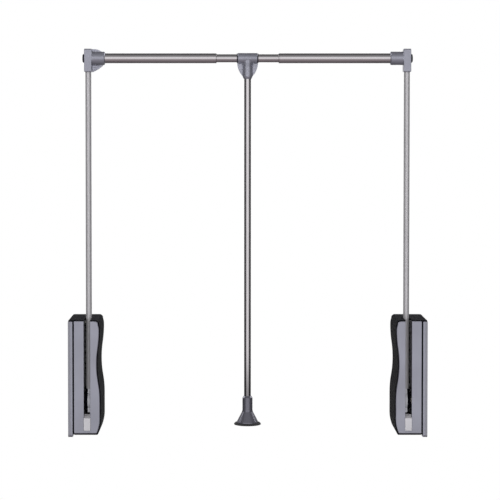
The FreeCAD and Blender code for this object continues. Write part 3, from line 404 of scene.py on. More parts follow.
# %% Moulded plastics
def moulded_plastic(name, colour, gloss_low, gloss_high, grain=0.3, drift=0.07, wear=0.16, coat=0.0,
                    shine=0.5, flake=0.0):
    """Injection-moulded plastic with a fine grain. Flake is the share of metal powder in it."""
    tree, shader = plain_shader(name)
    where = place_in_object(tree)
    slow = between(tree, noise(tree, where, 14.0, 2.0), 0.0, 1.0)
    grain_cells = noise(tree, where, 2600.0, 2.0, 0.6)
    speck = noise(tree, where, 700.0, 3.0)
    tone = blend_colours(tree, slow, shade(colour, 1 - drift), shade(colour, 1 + drift))
    rubbed = tuple(min(1.0, channel * 1.25 + 0.015) for channel in colour)
    share = sum_of(tree, "MULTIPLY", edge_wear(tree, 0.7 * mm), wear)
    worn = sum_of(tree, "MULTIPLY", share, between(tree, speck, 0.35, 1.0))
    wire(tree, blend_colours(tree, worn, tone, rubbed), shader.inputs["Base Color"])
    wire(tree, between(tree, speck, gloss_low, gloss_high), shader.inputs["Roughness"])
    shader.inputs["IOR"].default_value = 1.49
    shader.inputs["Specular IOR Level"].default_value = shine
    shader.inputs["Metallic"].default_value = flake
    shader.inputs["Coat Weight"].default_value = coat
    shader.inputs["Coat Roughness"].default_value = 0.22
    raise_bumps(tree, shader, [(grain_cells, 1.0), (speck, 0.6)], 0.05 * mm, grain)


moulded_plastic("grey_plastic", (0.300, 0.303, 0.358), 0.28, 0.34, grain=0.03, wear=0.03, flake=0.64)
# A darker, duller copy of grey_plastic: painted shade on the tray's wall-side half.
moulded_plastic("grey_plastic_wall_side", (0.250, 0.250, 0.285), 0.36, 0.42, grain=0.08, flake=0.4)
moulded_plastic("black_plastic", (0.004, 0.004, 0.006), 0.66, 0.76, grain=0.3, drift=0.15, wear=0.015,
                shine=0.03)
moulded_plastic("dark_plastic", (0.014, 0.014, 0.019), 0.40, 0.50, wear=0.05, shine=0.2)
moulded_plastic("grip_plastic", (0.150, 0.147, 0.178), 0.26, 0.32, grain=0.03, drift=0.05, wear=0.05,
                coat=0.1, shine=0.7, flake=0.65)
moulded_plastic("light_grey_bumper", (0.52, 0.51, 0.54), 0.48, 0.6, grain=0.4, drift=0.08, wear=0.05)
moulded_plastic("white_nylon", (0.62, 0.60, 0.55), 0.36, 0.46, grain=0.2, drift=0.04, wear=0.0)
moulded_plastic("pale_enamel", (0.50, 0.50, 0.54), 0.40, 0.50, grain=0.1, drift=0.05, wear=0.08)
print("moulded plastics:", len(materials))

# %% [markdown]
# A web of the same plastic is thin enough to let light through, so it gets a share of translucency.
# Its tone is also painted paler than the solid grey, as painted light where the block's shadow falls.

# %% Thin web
see_through_share = 0.35
# A paler copy of the grey plastic: painted light, under real translucency.
moulded_plastic("thin_web", (0.355, 0.36, 0.41), 0.40, 0.50, grain=0.1, wear=0.1)
thin = materials["thin_web"].node_tree
through = thin.nodes.new("ShaderNodeBsdfTranslucent")
through.inputs["Color"].default_value = (0.58, 0.58, 0.65, 1)
surface = thin.nodes["Material Output"].inputs["Surface"]
solid = thin.nodes["Principled BSDF"].outputs["BSDF"]
veil = thin.nodes.new("ShaderNodeMixShader")
veil.inputs[0].default_value = see_through_share
wire(thin, solid, veil.inputs[1])
wire(thin, through.outputs["BSDF"], veil.inputs[2])
wire(thin, veil.outputs[0], surface)
print("light through the web:", see_through_share)

# %% [markdown]
# Rubber is rougher and dustier than plastic: a matt black with pale dust that gathers in its grain.

# %% Rubber
tree, shader = plain_shader("black_rubber")
where = place_in_object(tree)
dust = between(tree, noise(tree, where, 420.0, 4.0, 0.7), 0.0, 0.35)
dusty = blend_colours(tree, dust, (0.012, 0.012, 0.014), (0.045, 0.044, 0.042))
wire(tree, dusty, shader.inputs["Base Color"])
wire(tree, between(tree, noise(tree, where, 300.0), 0.62, 0.8), shader.inputs["Roughness"])
raise_bumps(tree, shader, [(noise(tree, where, 1800.0, 2.0), 1.0)], 0.06 * mm, 0.5)
print("rubber done")

# %% [markdown]
# Satin nickel is a plated steel tube. The drawing bench leaves very fine lines along the tube, so the
# noise is stretched that way: along X for the rail and along Z for the arms and the pull rod. The
# lines change the gloss more than the colour. A few slow clouds stand for handled places. The pull
# rod's colour is painted darker towards its grip, as painted shade in its reflection there. The arms
# look duller than the rod, as plate under a satin lacquer does, so only a part of their light is
# mirrored.

# %% Metals
def height_fade(tree, where, low, high):
    """0 at one height and 1 at the other, both in metres."""
    split_place = tree.nodes.new("ShaderNodeSeparateXYZ")
    wire(tree, where, split_place.inputs[0])
    node = tree.nodes.new("ShaderNodeMapRange")
    node.interpolation_type = "SMOOTHSTEP"
    node.inputs["From Min"].default_value = low
    node.inputs["From Max"].default_value = high
    wire(tree, split_place.outputs["Z"], node.inputs["Value"])
    return node.outputs["Result"]


def drawn_metal(name, colour, gloss_low, gloss_high, along, lines=0.012, cloud=0.04, metal=1.0,
                painted_shade_foot=None):
    """Metal with fine lines along one axis: the stretch is small along the lines. The last argument is
    (low, high, share): below these heights the tone is painted darker to that share, as painted shade."""
    tree, shader = plain_shader(name)
    where = place_in_object(tree)
    stretched = place_in_object(tree, tuple(0.02 if axis == along else 1.0 for axis in "xyz"))
    fine = noise(tree, stretched, 2400.0, 3.0, 0.6)
    broad = noise(tree, stretched, 500.0, 2.0)
    clouds = between(tree, noise(tree, where, 22.0, 3.0), 0.0, 1.0)
    tone = blend_colours(tree, clouds, shade(colour, 1 - cloud), shade(colour, 1 + cloud))
    streaked = blend_colours(tree, between(tree, broad, 0.0, 0.5), tone, shade(colour, 0.88))
    # Painted shade: below the given heights the colour is darkened.
    if painted_shade_foot:
        low, high, share = painted_shade_foot
        streaked = blend_colours(tree, height_fade(tree, where, low, high), shade(colour, share), streaked)
    wire(tree, streaked, shader.inputs["Base Color"])
    gloss = between(tree, fine, gloss_low, gloss_high)
    dulled = sum_of(tree, "ADD", gloss, sum_of(tree, "MULTIPLY", clouds, 0.04))
    wire(tree, dulled, shader.inputs["Roughness"])
    shader.inputs["Metallic"].default_value = metal
    raise_bumps(tree, shader, [(fine, 1.0), (broad, 0.8)], 0.012 * mm, lines)


nickel = (0.62, 0.595, 0.615)
drawn_metal("satin_nickel", nickel, 0.16, 0.22, "x")
grip_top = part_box("grip_bell")[1].z
# The rod's colour is painted darker near the grip, as painted shade.
drawn_metal("satin_nickel_upright", nickel, 0.18, 0.24, "z",
            painted_shade_foot=(grip_top - 10 * mm, grip_top + 110 * mm, 0.42))
drawn_metal("satin_nickel_arm", (0.475, 0.465, 0.485), 0.26, 0.34, "z", metal=0.46)
drawn_metal("turned_steel", (0.52, 0.52, 0.53), 0.22, 0.34, "y", cloud=0.08)
drawn_metal("spring_steel", (0.20, 0.20, 0.21), 0.26, 0.4, "z", cloud=0.15)
print("finishes so far:", len(materials))

# %% [markdown]
# Zinc plate has a spangle of cool grey patches, a casting has a soft pebbled skin, and sintered
# bronze is speckled with open pores. They are hidden in the housings and only glint through the slot.

# %% Plated, cast and sintered metals
def patchy_metal(name, light, dark, patches, gloss_low, gloss_high, bump):
    """Metal with patches of two tones."""
    tree, shader = plain_shader(name)
    where = place_in_object(tree)
    cells = tree.nodes.new("ShaderNodeTexVoronoi")
    cells.inputs["Scale"].default_value = patches
    wire(tree, where, cells.inputs["Vector"])
    spread = between(tree, cells.outputs["Color"], 0.0, 1.0)
    wire(tree, blend_colours(tree, spread, dark, light), shader.inputs["Base Color"])
    gloss = between(tree, noise(tree, where, patches * 3), gloss_low, gloss_high)
    wire(tree, gloss, shader.inputs["Roughness"])
    shader.inputs["Metallic"].default_value = 1.0
    raise_bumps(tree, shader, [(noise(tree, where, patches * 6), 1.0)], 0.03 * mm, bump)


patchy_metal("zinc_steel", (0.40, 0.41, 0.43), (0.30, 0.31, 0.33), 260.0, 0.34, 0.5, 0.2)
patchy_metal("cast_zinc", (0.16, 0.16, 0.17), (0.11, 0.11, 0.12), 600.0, 0.42, 0.58, 0.5)
patchy_metal("bronze", (0.50, 0.34, 0.18), (0.36, 0.24, 0.12), 1500.0, 0.34, 0.5, 0.4)
print("finishes:", len(materials))

# %% [markdown]
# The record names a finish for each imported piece. The pieces that stay as packed, such as the screws,
# the bracket and the rack, simply put it on.

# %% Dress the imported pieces
slot_of = {part["node"]: part["material_slot"] for part in frame["record"]["subparts"]}
for name, node in nodes.items():
    node.data.materials.clear()
    node.data.materials.append(materials[slot_of[name]])
print("dressed:", len(nodes), "pieces")

# %% [markdown]
# A moulded or machined edge is never a knife edge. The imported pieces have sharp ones, so the pieces
# that show get meshes of their own. The tools for that come first. One turns a finished mesh into a
# piece that rides on the right body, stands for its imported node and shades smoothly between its
# sharp edges. Left pieces get a mirrored twin. The third tool rounds edges, all or some of them.

# %% Turn a mesh into a piece
weld = 0.001 * mm
smooth_below = 40


def add_piece(name, bm, finish):
    """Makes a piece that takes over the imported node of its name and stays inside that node's box."""
    bmesh.ops.remove_doubles(bm, verts=bm.verts, dist=weld)
    low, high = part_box(name)
    for vert in bm.verts:
        vert.co = [min(max(place, start), end) for place, start, end in zip(vert.co, low, high)]
    mesh = bpy.data.meshes.new(name)
    bm.to_mesh(mesh)
    bm.free()
    for label in [finish] if isinstance(finish, str) else finish:
        mesh.materials.append(materials[label])
    mesh.shade_smooth()
    mesh.set_sharp_from_angle(angle=math.radians(smooth_below))
    piece = bpy.data.objects.new(name + "_form", mesh)
    scene.collection.objects.link(piece)
    shading = piece.modifiers.new("even_shading", "WEIGHTED_NORMAL")
    shading.keep_sharp = True
    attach(piece, nodes[name]["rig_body"])
    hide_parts(name)
    return piece


def mirror_across(bm):
    """Turns a left piece into its right twin, with its faces still looking outwards."""
    bmesh.ops.scale(bm, vec=(-1, 1, 1), verts=bm.verts)
    bmesh.ops.translate(bm, vec=(2 * middle, 0, 0), verts=bm.verts)
    bmesh.ops.reverse_faces(bm, faces=bm.faces)


def add_both(name, left, finish):
    """Makes a left piece and its mirrored right twin."""
    right = left.copy()
    mirror_across(right)
    add_piece("left_" + name, left, finish)
    add_piece("right_" + name, right, finish)


def round_edges(bm, radius, segments=2, sharper_than=35, chosen=None):
    """Rounds every edge that turns sharply, or those of them that a test picks."""
    limit = math.radians(sharper_than)
    edges = [edge for edge in bm.edges if len(edge.link_faces) == 2
             and edge.calc_face_angle() > limit and (chosen is None or chosen(edge))]
    bmesh.ops.bevel(bm, geom=edges, offset=radius, offset_type="OFFSET", segments=segments,
                    profile=0.5, affect="EDGES", clamp_overlap=False, material=-1)


# %% [markdown]
# Three ways to a shape cover nearly all pieces. A flat outline is pulled along an axis, a section is
# turned about one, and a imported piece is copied, joined up and given round edges.

# %% Three ways to a shape
AXES = {"x": Vector((1, 0, 0)), "y": Vector((0, 1, 0)), "z": Vector((0, 0, 1))}


def pull_outline(points, axis, low, high, rounding=6):
    """Pulls a flat outline along an axis. A third value rounds that corner by a radius."""
    order = {"x": (2, 0, 1), "y": (0, 2, 1), "z": (0, 1, 2)}[axis]
    bm = bmesh.new()
    corners = {}
    for point in points:
        spot = (point[0], point[1], low)
        vert = bm.verts.new([spot[index] for index in order])
        corners[vert] = point[2] if len(point) > 2 else 0
    face = bm.faces.new(list(corners))
    for radius in sorted(set(corners.values()) - {0}):
        turning = [vert for vert, wanted in corners.items() if wanted == radius]
        bmesh.ops.bevel(bm, geom=turning, offset=radius, offset_type="OFFSET", segments=rounding,
                        profile=0.5, affect="VERTICES", clamp_overlap=False, material=-1)
    grown = bmesh.ops.extrude_face_region(bm, geom=list(bm.faces))
    top = [item for item in grown["geom"] if isinstance(item, bmesh.types.BMVert)]
    bmesh.ops.translate(bm, vec=AXES[axis] * (high - low), verts=top)
    bmesh.ops.recalc_face_normals(bm, faces=bm.faces)
    return bm


def turn_section(section, axis, centre, steps=72, closed=False):
    """Turns a section of (along, radius) points about an axis through a centre."""
    along = AXES[axis]
    outward = AXES["y"] if axis == "x" else AXES["x"]
    bm = bmesh.new()
    spots = [bm.verts.new(Vector(centre) + along * place + outward * radius) for place, radius in section]
    pairs = list(zip(spots, spots[1:]))
    if closed:
        pairs.append((spots[-1], spots[0]))
    edges = [bm.edges.new(pair) for pair in pairs]
    bmesh.ops.spin(bm, geom=spots + edges, cent=centre, axis=along, angle=2 * math.pi, steps=steps,
                   use_merge=True, use_duplicate=False)
    bmesh.ops.remove_doubles(bm, verts=bm.verts, dist=weld)
    bmesh.ops.recalc_face_normals(bm, faces=bm.faces)
    return bm


def joined_copy(node, radius, segments=2, **choice):
    """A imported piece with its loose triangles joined, flat faces made whole and edges rounded."""
    bm = bmesh.new()
    bm.from_mesh(nodes[node].data)
    bmesh.ops.remove_doubles(bm, verts=bm.verts, dist=weld)
    bmesh.ops.dissolve_limit(bm, angle_limit=math.radians(0.4), verts=bm.verts, edges=bm.edges)
    round_edges(bm, radius, segments, **choice)
    return bm


# %% [markdown]
# The tubes of the rail, the arms and the pull rod are drawn steel: a thin wall and a rim that was
# tumbled smooth. A closed section is turned about the axis, so that each tube is open at its ends
# and has an inside, and the four rims are rounded.

# %% Tubes
tube_wall = 1.0 * mm


def make_tube(node, axis):
    """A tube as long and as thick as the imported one."""
    low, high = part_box(node)
    centre = (low + high) / 2
    across = "y" if axis == "x" else "x"
    radius = (getattr(high, across) - getattr(low, across)) / 2
    half = (getattr(high, axis) - getattr(low, axis)) / 2
    bore = radius - tube_wall
    section = [(-half, bore), (half, bore), (half, radius), (-half, radius)]
    bm = turn_section(section, axis, centre, closed=True)
    round_edges(bm, tube_wall * 0.3, 2)
    return bm


tubes = {
    # node: (axis, finish)
    "left_outer_tube": ("x", "satin_nickel"),
    "left_arm_tube": ("z", "satin_nickel_arm"),
    "right_outer_tube": ("x", "satin_nickel"),
    "right_arm_tube": ("z", "satin_nickel_arm"),
    "inner_tube": ("x", "satin_nickel"),
    "pull_rod": ("z", "satin_nickel_upright"),
}
for name, (axis, finish) in tubes.items():
    add_piece(name, make_tube(name, axis), finish)
print("tubes:", len(tubes))

# %% [markdown]
# A guide closes the open end of each outer tube. Only its plated lip shows, where the rail steps down
# to the thinner tube. Two black rings on the inner tube keep the T in the middle.

# %% Guides and stop rings
inner_radius = (rail_high.z - rail_low.z) / 2


def make_guide():
    """The flanged guide in the end of the left outer tube."""
    low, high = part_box("left_rail_bush")
    tube_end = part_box("left_outer_tube")[1].x
    radius = (high.z - low.z) / 2
    bore = inner_radius + 0.05 * mm
    seat = radius - 1.05 * mm
    section = [(low.x, bore), (high.x, bore), (high.x, radius - 0.6 * mm), (tube_end, radius),
               (tube_end, seat), (low.x, seat)]
    bm = turn_section(section, "x", (0, 0, rail_z), closed=True)
    round_edges(bm, 0.25 * mm, 2)
    return bm


def gather(*parts):
    """Lays closed forms into one mesh and frees them."""
    whole = bmesh.new()
    for part in parts:
        held = bpy.data.meshes.new("part")
        part.to_mesh(held)
        whole.from_mesh(held)
        part.free()
        bpy.data.meshes.remove(held)
    return whole


def make_stop_ring(start):
    """One ring on the inner tube."""
    low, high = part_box("tee_stop_rings")
    radius = (high.z - low.z) / 2
    bore = inner_radius + 0.03 * mm
    section = [(start, bore), (start + ring_width, bore), (start + ring_width, radius), (start, radius)]
    bm = turn_section(section, "x", (0, 0, rail_z), closed=True)
    round_edges(bm, 0.4 * mm, 3)
    return bm


ring_width = 1.9 * mm
ring_starts = (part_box("tee_stop_rings")[0].x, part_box("tee_stop_rings")[1].x - ring_width)
add_both("rail_bush", make_guide(), "satin_nickel")
add_piece("tee_stop_rings", gather(*[make_stop_ring(start) for start in ring_starts]), "dark_plastic")
print("guides and rings done")

# %% [markdown]
# The corner connectors and the T are thick mouldings, and where a collar meets a block the plastic
# runs round in a fillet. Edge by edge that is hard to draw, but a fillet is what a soft cloth would
# make: so the simple solids are laid into each other, wrapped in one skin of small squares and rubbed
# smooth. The bores are cut afterwards, so that they stay crisp.

# %% Melt solids together and bore them
beyond = 2 * mm


def run_tools(bm, tools):
    """Runs modifiers on a mesh and gives the result back. Each tool is (kind, settings)."""
    mesh = bpy.data.meshes.new("blank")
    bm.to_mesh(mesh)
    bm.free()
    blank = bpy.data.objects.new("blank", mesh)
    scene.collection.objects.link(blank)
    for kind, settings in tools:
        tool = blank.modifiers.new(kind, kind)
        for key, value in settings.items():
            setattr(tool, key, value)
    result = bmesh.new()
    result.from_object(blank, bpy.context.evaluated_depsgraph_get())
    bpy.data.objects.remove(blank)
    bpy.data.meshes.remove(mesh)
    return result


def melt(solids, square, rubs):
    """Wraps overlapping solids in one skin of small squares and rubs it smooth."""
    return run_tools(gather(*solids), [
        ("REMESH", {"mode": "VOXEL", "voxel_size": square, "use_smooth_shade": True}),
        ("SMOOTH", {"factor": 0.5, "iterations": rubs}),
    ])


def bore_out(bm, *cutters):
    """Cuts forms out of a mesh."""
    mesh = bpy.data.meshes.new("cutter")
    whole = gather(*cutters)
    whole.to_mesh(mesh)
    whole.free()
    cutter = bpy.data.objects.new("cutter", mesh)
    scene.collection.objects.link(cutter)
    result = run_tools(bm, [("BOOLEAN", {"operation": "DIFFERENCE", "object": cutter, "solver": "EXACT"})])
    bpy.data.objects.remove(cutter)
    bpy.data.meshes.remove(mesh)
    return result


def plain_rod(radius, axis, centre, low, high, steps=64):
    """A solid round bar between two places on its axis, measured from its centre."""
    section = [(low, 0), (low, radius), (high, radius), (high, 0)]
    return turn_section(section, axis, centre, steps)


# %% [markdown]
# A corner connector is a flat block on the arm's top with a round collar for the rail. The block's
# upper rear corner is well rounded, and the collar ends in a chamfer. Below the rail a screw enters
# from behind, another from below, and the front keeps the shallow mark of the mould's ejector.

# %% Corner connectors
block_width = 16.6 * mm
block_foot_round = 1.2 * mm
block_brow_round = 3.2 * mm
block_back_round = 11.0 * mm
mark_radius = 3.2 * mm
mark_drop = 9 * mm
mark_depth = 0.5 * mm
back_screw_drop = 19 * mm
collar_radius = 14.85 * mm
collar_chamfer = 1.8 * mm
tube_bore = 11.05 * mm
arm_bore = 6.55 * mm
screw_bore = 2.05 * mm
corner_low, corner_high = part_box("left_corner_connector")
block_right = corner_low.x + block_width


def make_corner():
    """Block and collar melted together, with the sockets of both tubes and three small holes."""
    block = pull_outline([
        (corner_low.y, corner_low.z, block_foot_round),
        (corner_high.y, corner_low.z, block_foot_round),
        (corner_high.y, corner_high.z, block_back_round),
        (corner_low.y, corner_high.z, block_brow_round),
    ], "x", corner_low.x, block_right)
    end = corner_high.x
    collar = turn_section([
        (arm_x, 0),
        (arm_x, collar_radius),
        (end - collar_chamfer, collar_radius),
        (end, collar_radius - collar_chamfer),
        (end, 0),
    ], "x", (0, 0, rail_z))
    skin = melt([block, collar], 0.55 * mm, 16)
    tube_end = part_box("left_outer_tube")[0].x
    socket_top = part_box("left_arm_tube")[1].z + 0.3 * mm
    collar_screw_x = (block_right + end) / 2
    return bore_out(
        skin,
        plain_rod(tube_bore, "x", (0, 0, rail_z), tube_end, end + beyond),
        plain_rod(arm_bore, "z", (arm_x, 0, 0), corner_low.z - beyond, socket_top),
        plain_rod(screw_bore, "y", (arm_x, 0, rail_z - back_screw_drop), 3 * mm, corner_high.y + beyond, 24),
        plain_rod(mark_radius, "y", (arm_x, 0, corner_high.z - mark_drop), corner_low.y - beyond,
                  corner_low.y + mark_depth, 32),
        plain_rod(screw_bore, "z", (collar_screw_x, 0, 0), rail_z - collar_radius - beyond,
                  rail_z - tube_bore + 0.5 * mm, 24),
    )


add_both("corner_connector", make_corner(), "grey_plastic")
print("corner connectors done")

# %% [markdown]
# A domed cap plugs the outer side of each corner. It is turned, with its rim rounded over. Behind the
# left collar stands a thin half-round web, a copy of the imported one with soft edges.

# %% Corner caps and the web
def make_cap():
    """The left cap: a dome outside the block and a spigot in it."""
    low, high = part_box("left_corner_cap")
    radius = (high.z - low.z) / 2
    spigot = 6.0 * mm
    section = [
        (low.x, 0),
        (low.x, radius - 2.5 * mm),
        (low.x + 1.2 * mm, radius - 0.8 * mm),
        (low.x + 2.7 * mm, radius),
        (corner_low.x, radius),
        (corner_low.x, spigot),
        (high.x, spigot),
        (high.x, 0),
    ]
    bm = turn_section(section, "x", (0, 0, rail_z))
    round_edges(bm, 0.5 * mm, 3, sharper_than=20)
    return bm


add_both("corner_cap", make_cap(), "dark_plastic")
# The web's paler tone is painted light.
add_piece("left_web_plate", joined_copy("left_web_plate", 0.6 * mm), "thin_web")
print("caps and web done")

# %% [markdown]
# The T hangs on the rail and turns on it. Its barrel runs into a stem that tapers to the pull rod,
# and a thin web on each side stiffens the joint. The web is only three millimetres thick, so light
# gets through it, and its tone is painted paler than the solid part, as painted light.

# %% T connector
tee_low, tee_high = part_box("tee_connector")
tee_chamfer = 0.9 * mm
barrel_radius = tee_high.z - rail_z
stem_radius = 10.75 * mm
stem_belly = 0.8 * mm
stem_belly_drop = 10 * mm
stem_straight_drop = 18 * mm
stem_mouth_radius = 8.4 * mm
stem_foot = rail_z - 40.8 * mm
rail_bore = 9.95 * mm
rod_bore = 7.55 * mm
rod_top = rail_z - 17.7 * mm
tee_screw_drop = 31 * mm
wing_half = 1.5 * mm
wing_bow = 3 * mm
wing_foot = rail_z - 40.5 * mm
wing_top = rail_z - 11.2 * mm
wing_reach = (tee_high.x - tee_low.x) / 2
barrel_half = 21.8 * mm


def bowed(start, finish, rise, steps=8):
    """Points from start towards finish along a shallow bow, which swells to the right by rise."""
    run = Vector(finish) - Vector(start)
    side = Vector((run.y, -run.x)).normalized()
    shares = [step / steps for step in range(steps)]
    return [tuple(Vector(start) + run * t + side * 4 * rise * t * (1 - t)) for t in shares]


def make_tee():
    """Barrel, stem and wings melted together, with bores for the rail, the rod and the screw."""
    centre = (middle, 0, rail_z)
    barrel = turn_section([
        (-barrel_half, 0),
        (-barrel_half, barrel_radius - tee_chamfer),
        (tee_chamfer - barrel_half, barrel_radius),
        (barrel_half - tee_chamfer, barrel_radius),
        (barrel_half, barrel_radius - tee_chamfer),
        (barrel_half, 0),
    ], "x", centre)
    stem = turn_section([
        (rail_z, 0),
        (rail_z, stem_radius),
        (rail_z - stem_belly_drop, stem_radius + stem_belly),
        (rail_z - stem_straight_drop, stem_radius),
        (stem_foot, stem_radius),
        (tee_low.z, stem_mouth_radius),
        (tee_low.z, 0),
    ], "z", (middle, 0, 0))
    foot = stem_radius - 1 * mm
    right = bowed((foot, wing_foot), (wing_reach, wing_top), wing_bow)
    left = bowed((-wing_reach, wing_top), (-foot, wing_foot), wing_bow)
    wings = pull_outline([(middle + x, z) for x, z in right + [(wing_reach, wing_top)] + left
                          + [(-foot, wing_foot)]], "y", -wing_half, wing_half)
    skin = melt([barrel, stem, wings], 0.5 * mm, 8)
    bored = bore_out(
        skin,
        plain_rod(rail_bore, "x", centre, -barrel_half - beyond, barrel_half + beyond),
        plain_rod(rod_bore, "z", (middle, 0, 0), tee_low.z - beyond, rod_top),
        plain_rod(screw_bore, "y", (middle, 0, rail_z - tee_screw_drop), 5 * mm, stem_radius + beyond, 24),
    )
    # Wing faces take the web finish: real translucency over a tone painted paler as light.
    for face in bored.faces:
        spot = face.calc_center_median()
        on_wing = abs(spot.x - middle) > stem_radius + 0.9 * mm and abs(spot.y) < wing_half + 0.6 * mm
        face.material_index = int(on_wing and spot.z < rail_z - barrel_radius + 0.4 * mm)
    return bored


add_piece("tee_connector", make_tee(), ["grey_plastic", "thin_web"])
print("T connector done")

# %% [markdown]
# The grip is turned: a chamfered collar, a neck that swings out into a cone, and a short skirt. The
# two rings of edges where it changes direction are rounded with large radii, because a hand slides
# down it. A black rim and a rubber disc finish the foot.

# %% Grip
bell_low, bell_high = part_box("grip_bell")
rim_low, rim_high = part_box("grip_rim")
pad_low, pad_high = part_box("grip_pad")
neck_radius = 11.2 * mm
neck_foot = bell_high.z - 33.2 * mm
skirt_radius = (bell_high.x - bell_low.x) / 2
skirt_top = bell_low.z + 5.6 * mm
bevel_across = 2.8 * mm
bevel_foot = bell_high.z - bevel_across * 1.5


def ring_at(height):
    """A test that picks the level ring of edges at a height."""
    return lambda edge: all(abs(vert.co.z - height) < 0.01 * mm for vert in edge.verts)


def make_bell():
    """Collar, cone and skirt, with the rod's socket above and a recess for the pad below."""
    pad_recess = (pad_high.x - pad_low.x) / 2 + 0.05 * mm
    socket_foot = bell_high.z - 32 * mm
    section = [
        (pad_high.z + 0.05 * mm, 0),
        (pad_high.z + 0.05 * mm, pad_recess),
        (bell_low.z, pad_recess),
        (bell_low.z, skirt_radius),
        (skirt_top, skirt_radius),
        (neck_foot, neck_radius),
        (bevel_foot, neck_radius),
        (bell_high.z, neck_radius - bevel_across),
        (bell_high.z, rod_bore),
        (socket_foot, rod_bore),
        (socket_foot, 0),
    ]
    bm = turn_section(section, "z", (middle, 0, 0), steps=96)
    round_edges(bm, 3.0 * mm, 6, 5, ring_at(neck_foot))
    round_edges(bm, 1.6 * mm, 4, 5, ring_at(skirt_top))
    round_edges(bm, 0.7 * mm, 3, 5, ring_at(bevel_foot))
    round_edges(bm, 0.3 * mm, 2, 30, ring_at(bell_high.z))
    return bm


def make_rim():
    """The black ring round the skirt, with a sloping top."""
    bore = skirt_radius + 0.05 * mm
    reach = (rim_high.x - rim_low.x) / 2
    section = [
        (rim_low.z, bore),
        (rim_low.z, reach),
        (rim_low.z + 2.0 * mm, reach),
        (rim_high.z, reach - 2.6 * mm),
        (rim_high.z, bore),
    ]
    bm = turn_section(section, "z", (middle, 0, 0), steps=96, closed=True)
    round_edges(bm, 0.7 * mm, 3, 20)
    return bm


def make_pad():
    """A rubber disc with two grooves, so that it grips when it is pressed against a door."""
    radius = (pad_high.x - pad_low.x) / 2
    section = [(pad_high.z, 0), (pad_high.z, radius), (pad_low.z, radius)]
    for groove in (15.5 * mm, 9.0 * mm):
        section += [(pad_low.z, groove), (pad_low.z + 0.6 * mm, groove - 0.5 * mm),
                    (pad_low.z + 0.6 * mm, groove - 1.3 * mm), (pad_low.z, groove - 1.8 * mm)]
    section.append((pad_low.z, 0))
    bm = turn_section(section, "z", (middle, 0, 0), steps=96)
    axis_spot = Vector((middle, 0))
    round_edges(bm, 0.3 * mm, 2, 60, lambda edge: (edge.verts[0].co.xy - axis_spot).length > radius * 0.99)
    return bm


add_piece("grip_bell", make_bell(), "grip_plastic")
add_piece("grip_rim", make_rim(), "black_rubber")
add_piece("grip_pad", make_pad(), "black_rubber")
print("grip done")

# %% [markdown]
# Each housing is three mouldings. The tray is screwed to the wardrobe, the black hood clips on to it,
# and the grey fascia closes the front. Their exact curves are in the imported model, so these pieces
# start as joined copies of it. The hood's roof gets a soft edge, and the fascia rolls off towards its
# waisted side.

# %% Hoods and fascias
slot_half = 7.0 * mm


def make_hood():
    """The left hood: its roof gets a wide edge, except beside the slot."""
    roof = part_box("left_shell")[1].z
    bm = joined_copy("left_shell", 1.6 * mm, 4, chosen=lambda edge: ring_at(roof)(edge)
                     and all(abs(vert.co.x - arm_x) > slot_half + 0.5 * mm for vert in edge.verts))
    round_edges(bm, 0.35 * mm, 2, 50)
    return bm


def on_the_waist(edge):
    """Picks the front edges on the fascia's waisted side."""
    at_front = all(abs(vert.co.y - housing_front) < 0.01 * mm for vert in edge.verts)
    return at_front and any(vert.co.x > arm_x + slot_half + 2 * mm for vert in edge.verts)


def make_fascia():
    """The left fascia: wide edges on the waisted side, narrow ones elsewhere."""
    bm = joined_copy("left_fascia", 1.9 * mm, 5, chosen=on_the_waist)
    round_edges(bm, 0.4 * mm, 2, 50)
    return bm


add_both("shell", make_hood(), "black_plastic")
add_both("fascia", make_fascia(), "grey_plastic")
print("hoods and fascias done")

# %% [markdown]
# The hub that carries the arm is a casting with a baked coat. Down in the slot its pale flank goes on
# below the arm, and its wall side is painted black, as painted shade from the slot's wall.

# %% Arm hubs
def make_hub():
    """The left hub, parted into a pale flank and a wall side painted black as shade."""
    bm = joined_copy("left_arm_hub", 0.4 * mm, 2, sharper_than=50)
    painted_shade_edge = arm_x - 2.4 * mm
    everything = list(bm.verts) + list(bm.edges) + list(bm.faces)
    bmesh.ops.bisect_plane(bm, geom=everything, plane_co=(painted_shade_edge, 0, 0), plane_no=(1, 0, 0), dist=1e-7)
    # Faces on the wall side take black: painted shade down in the slot.
    for face in bm.faces:
        face.material_index = int(face.calc_center_median().x < painted_shade_edge)
    return bm


add_both("arm_hub", make_hub(), ["pale_enamel", "black_plastic"])
print("hubs done")
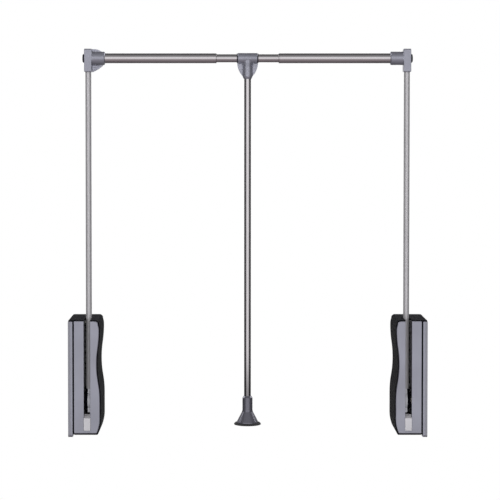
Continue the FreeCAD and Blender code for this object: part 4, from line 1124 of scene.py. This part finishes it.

# %% [markdown]
# The tray's edge shows beside the fascia as a strip in two tones, parted by a fine groove: the half
# against the wall is painted in a darker, duller copy of the grey as painted shade, and the outer half,
# the lip that the hood closes on, keeps the grey.

# %% Trays
def make_tray():
    """The left tray, with a groove round its rim between the grey and a darker tone of painted shade."""
    low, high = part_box("left_base_tray")

    def on_a_face(edge):
        """Picks long edges on the wall face or the lip."""
        on_either = any(abs(vert.co.x - face_x) < 0.01 * mm
                        for vert in edge.verts for face_x in (low.x, high.x))
        return on_either and edge.calc_length() > 3 * mm

    bm = joined_copy("left_base_tray", 0.45 * mm, 2, sharper_than=60, chosen=on_a_face)
    groove_low = low.x + 4.7 * mm
    groove_high = low.x + 5.3 * mm
    for place in (groove_low, groove_high):
        everything = list(bm.verts) + list(bm.edges) + list(bm.faces)
        bmesh.ops.bisect_plane(bm, geom=everything, plane_co=(place, 0, 0), plane_no=(1, 0, 0), dist=1e-7)
    centre = (low + high) / 2
    band = []
    for face in bm.faces:
        spot = face.calc_center_median()
        outside = face.normal.dot(spot - centre) > 0 and abs(face.normal.x) < 0.1
        if outside and groove_low < spot.x < groove_high:
            band.append(face)
        # The wall-side half takes the darker copy: painted shade.
        face.material_index = int(spot.x < groove_high)
    bmesh.ops.inset_region(bm, faces=band, thickness=0.02 * mm, depth=-0.4 * mm, use_boundary=True,
                           use_even_offset=True)
    return bm


add_both("base_tray", make_tray(), ["grey_plastic", "grey_plastic_wall_side"])
print("trays done")

# %% [markdown]
# Two bumpers stop the arm: a pale soft block at the foot of the slot and a black one behind the
# raised arm. Rubber-like mouldings have round edges all over.

# %% Bumpers
add_both("lower_bumper", joined_copy("left_lower_bumper", 0.9 * mm, 4), "light_grey_bumper")
add_both("upper_bumper", joined_copy("left_upper_bumper", 0.9 * mm, 4), "black_rubber")
print("bumpers done")

# %% [markdown]
# The spring in each housing is wound wire. A screw-like spin carries a small circle round the axis
# while it climbs. When the lift is pulled down, the rack presses the spring towards its upper seat.

# %% Lift springs
wire_radius = 1.5 * mm
coil_pitch = 12.2 * mm
steps_per_turn = 28


def make_spring(node):
    """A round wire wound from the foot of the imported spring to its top."""
    low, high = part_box(node)
    centre = (low + high) / 2
    coil_radius = (high.x - low.x) / 2 - wire_radius
    climb = high.z - low.z - 2 * wire_radius
    turns = climb / coil_pitch
    steps = round(turns * steps_per_turn)
    bm = bmesh.new()
    stand_up = Matrix.Translation((centre.x + coil_radius, centre.y, low.z + wire_radius)) @ \
        Matrix.Rotation(math.radians(90), 4, "X")
    bmesh.ops.create_circle(bm, segments=12, radius=wire_radius, matrix=stand_up)
    bmesh.ops.spin(bm, geom=list(bm.verts) + list(bm.edges), cent=centre, axis=(0, 0, 1),
                   dvec=(0, 0, climb / steps), angle=2 * math.pi * turns, steps=steps,
                   use_merge=False, use_duplicate=False)
    bmesh.ops.holes_fill(bm, edges=[edge for edge in bm.edges if edge.is_boundary])
    bmesh.ops.recalc_face_normals(bm, faces=bm.faces)
    return bm


for side in ("left", "right"):
    node = side + "_lift_spring"
    spring = add_piece(node, make_spring(node), "spring_steel")
    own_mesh(spring)
print("springs done")
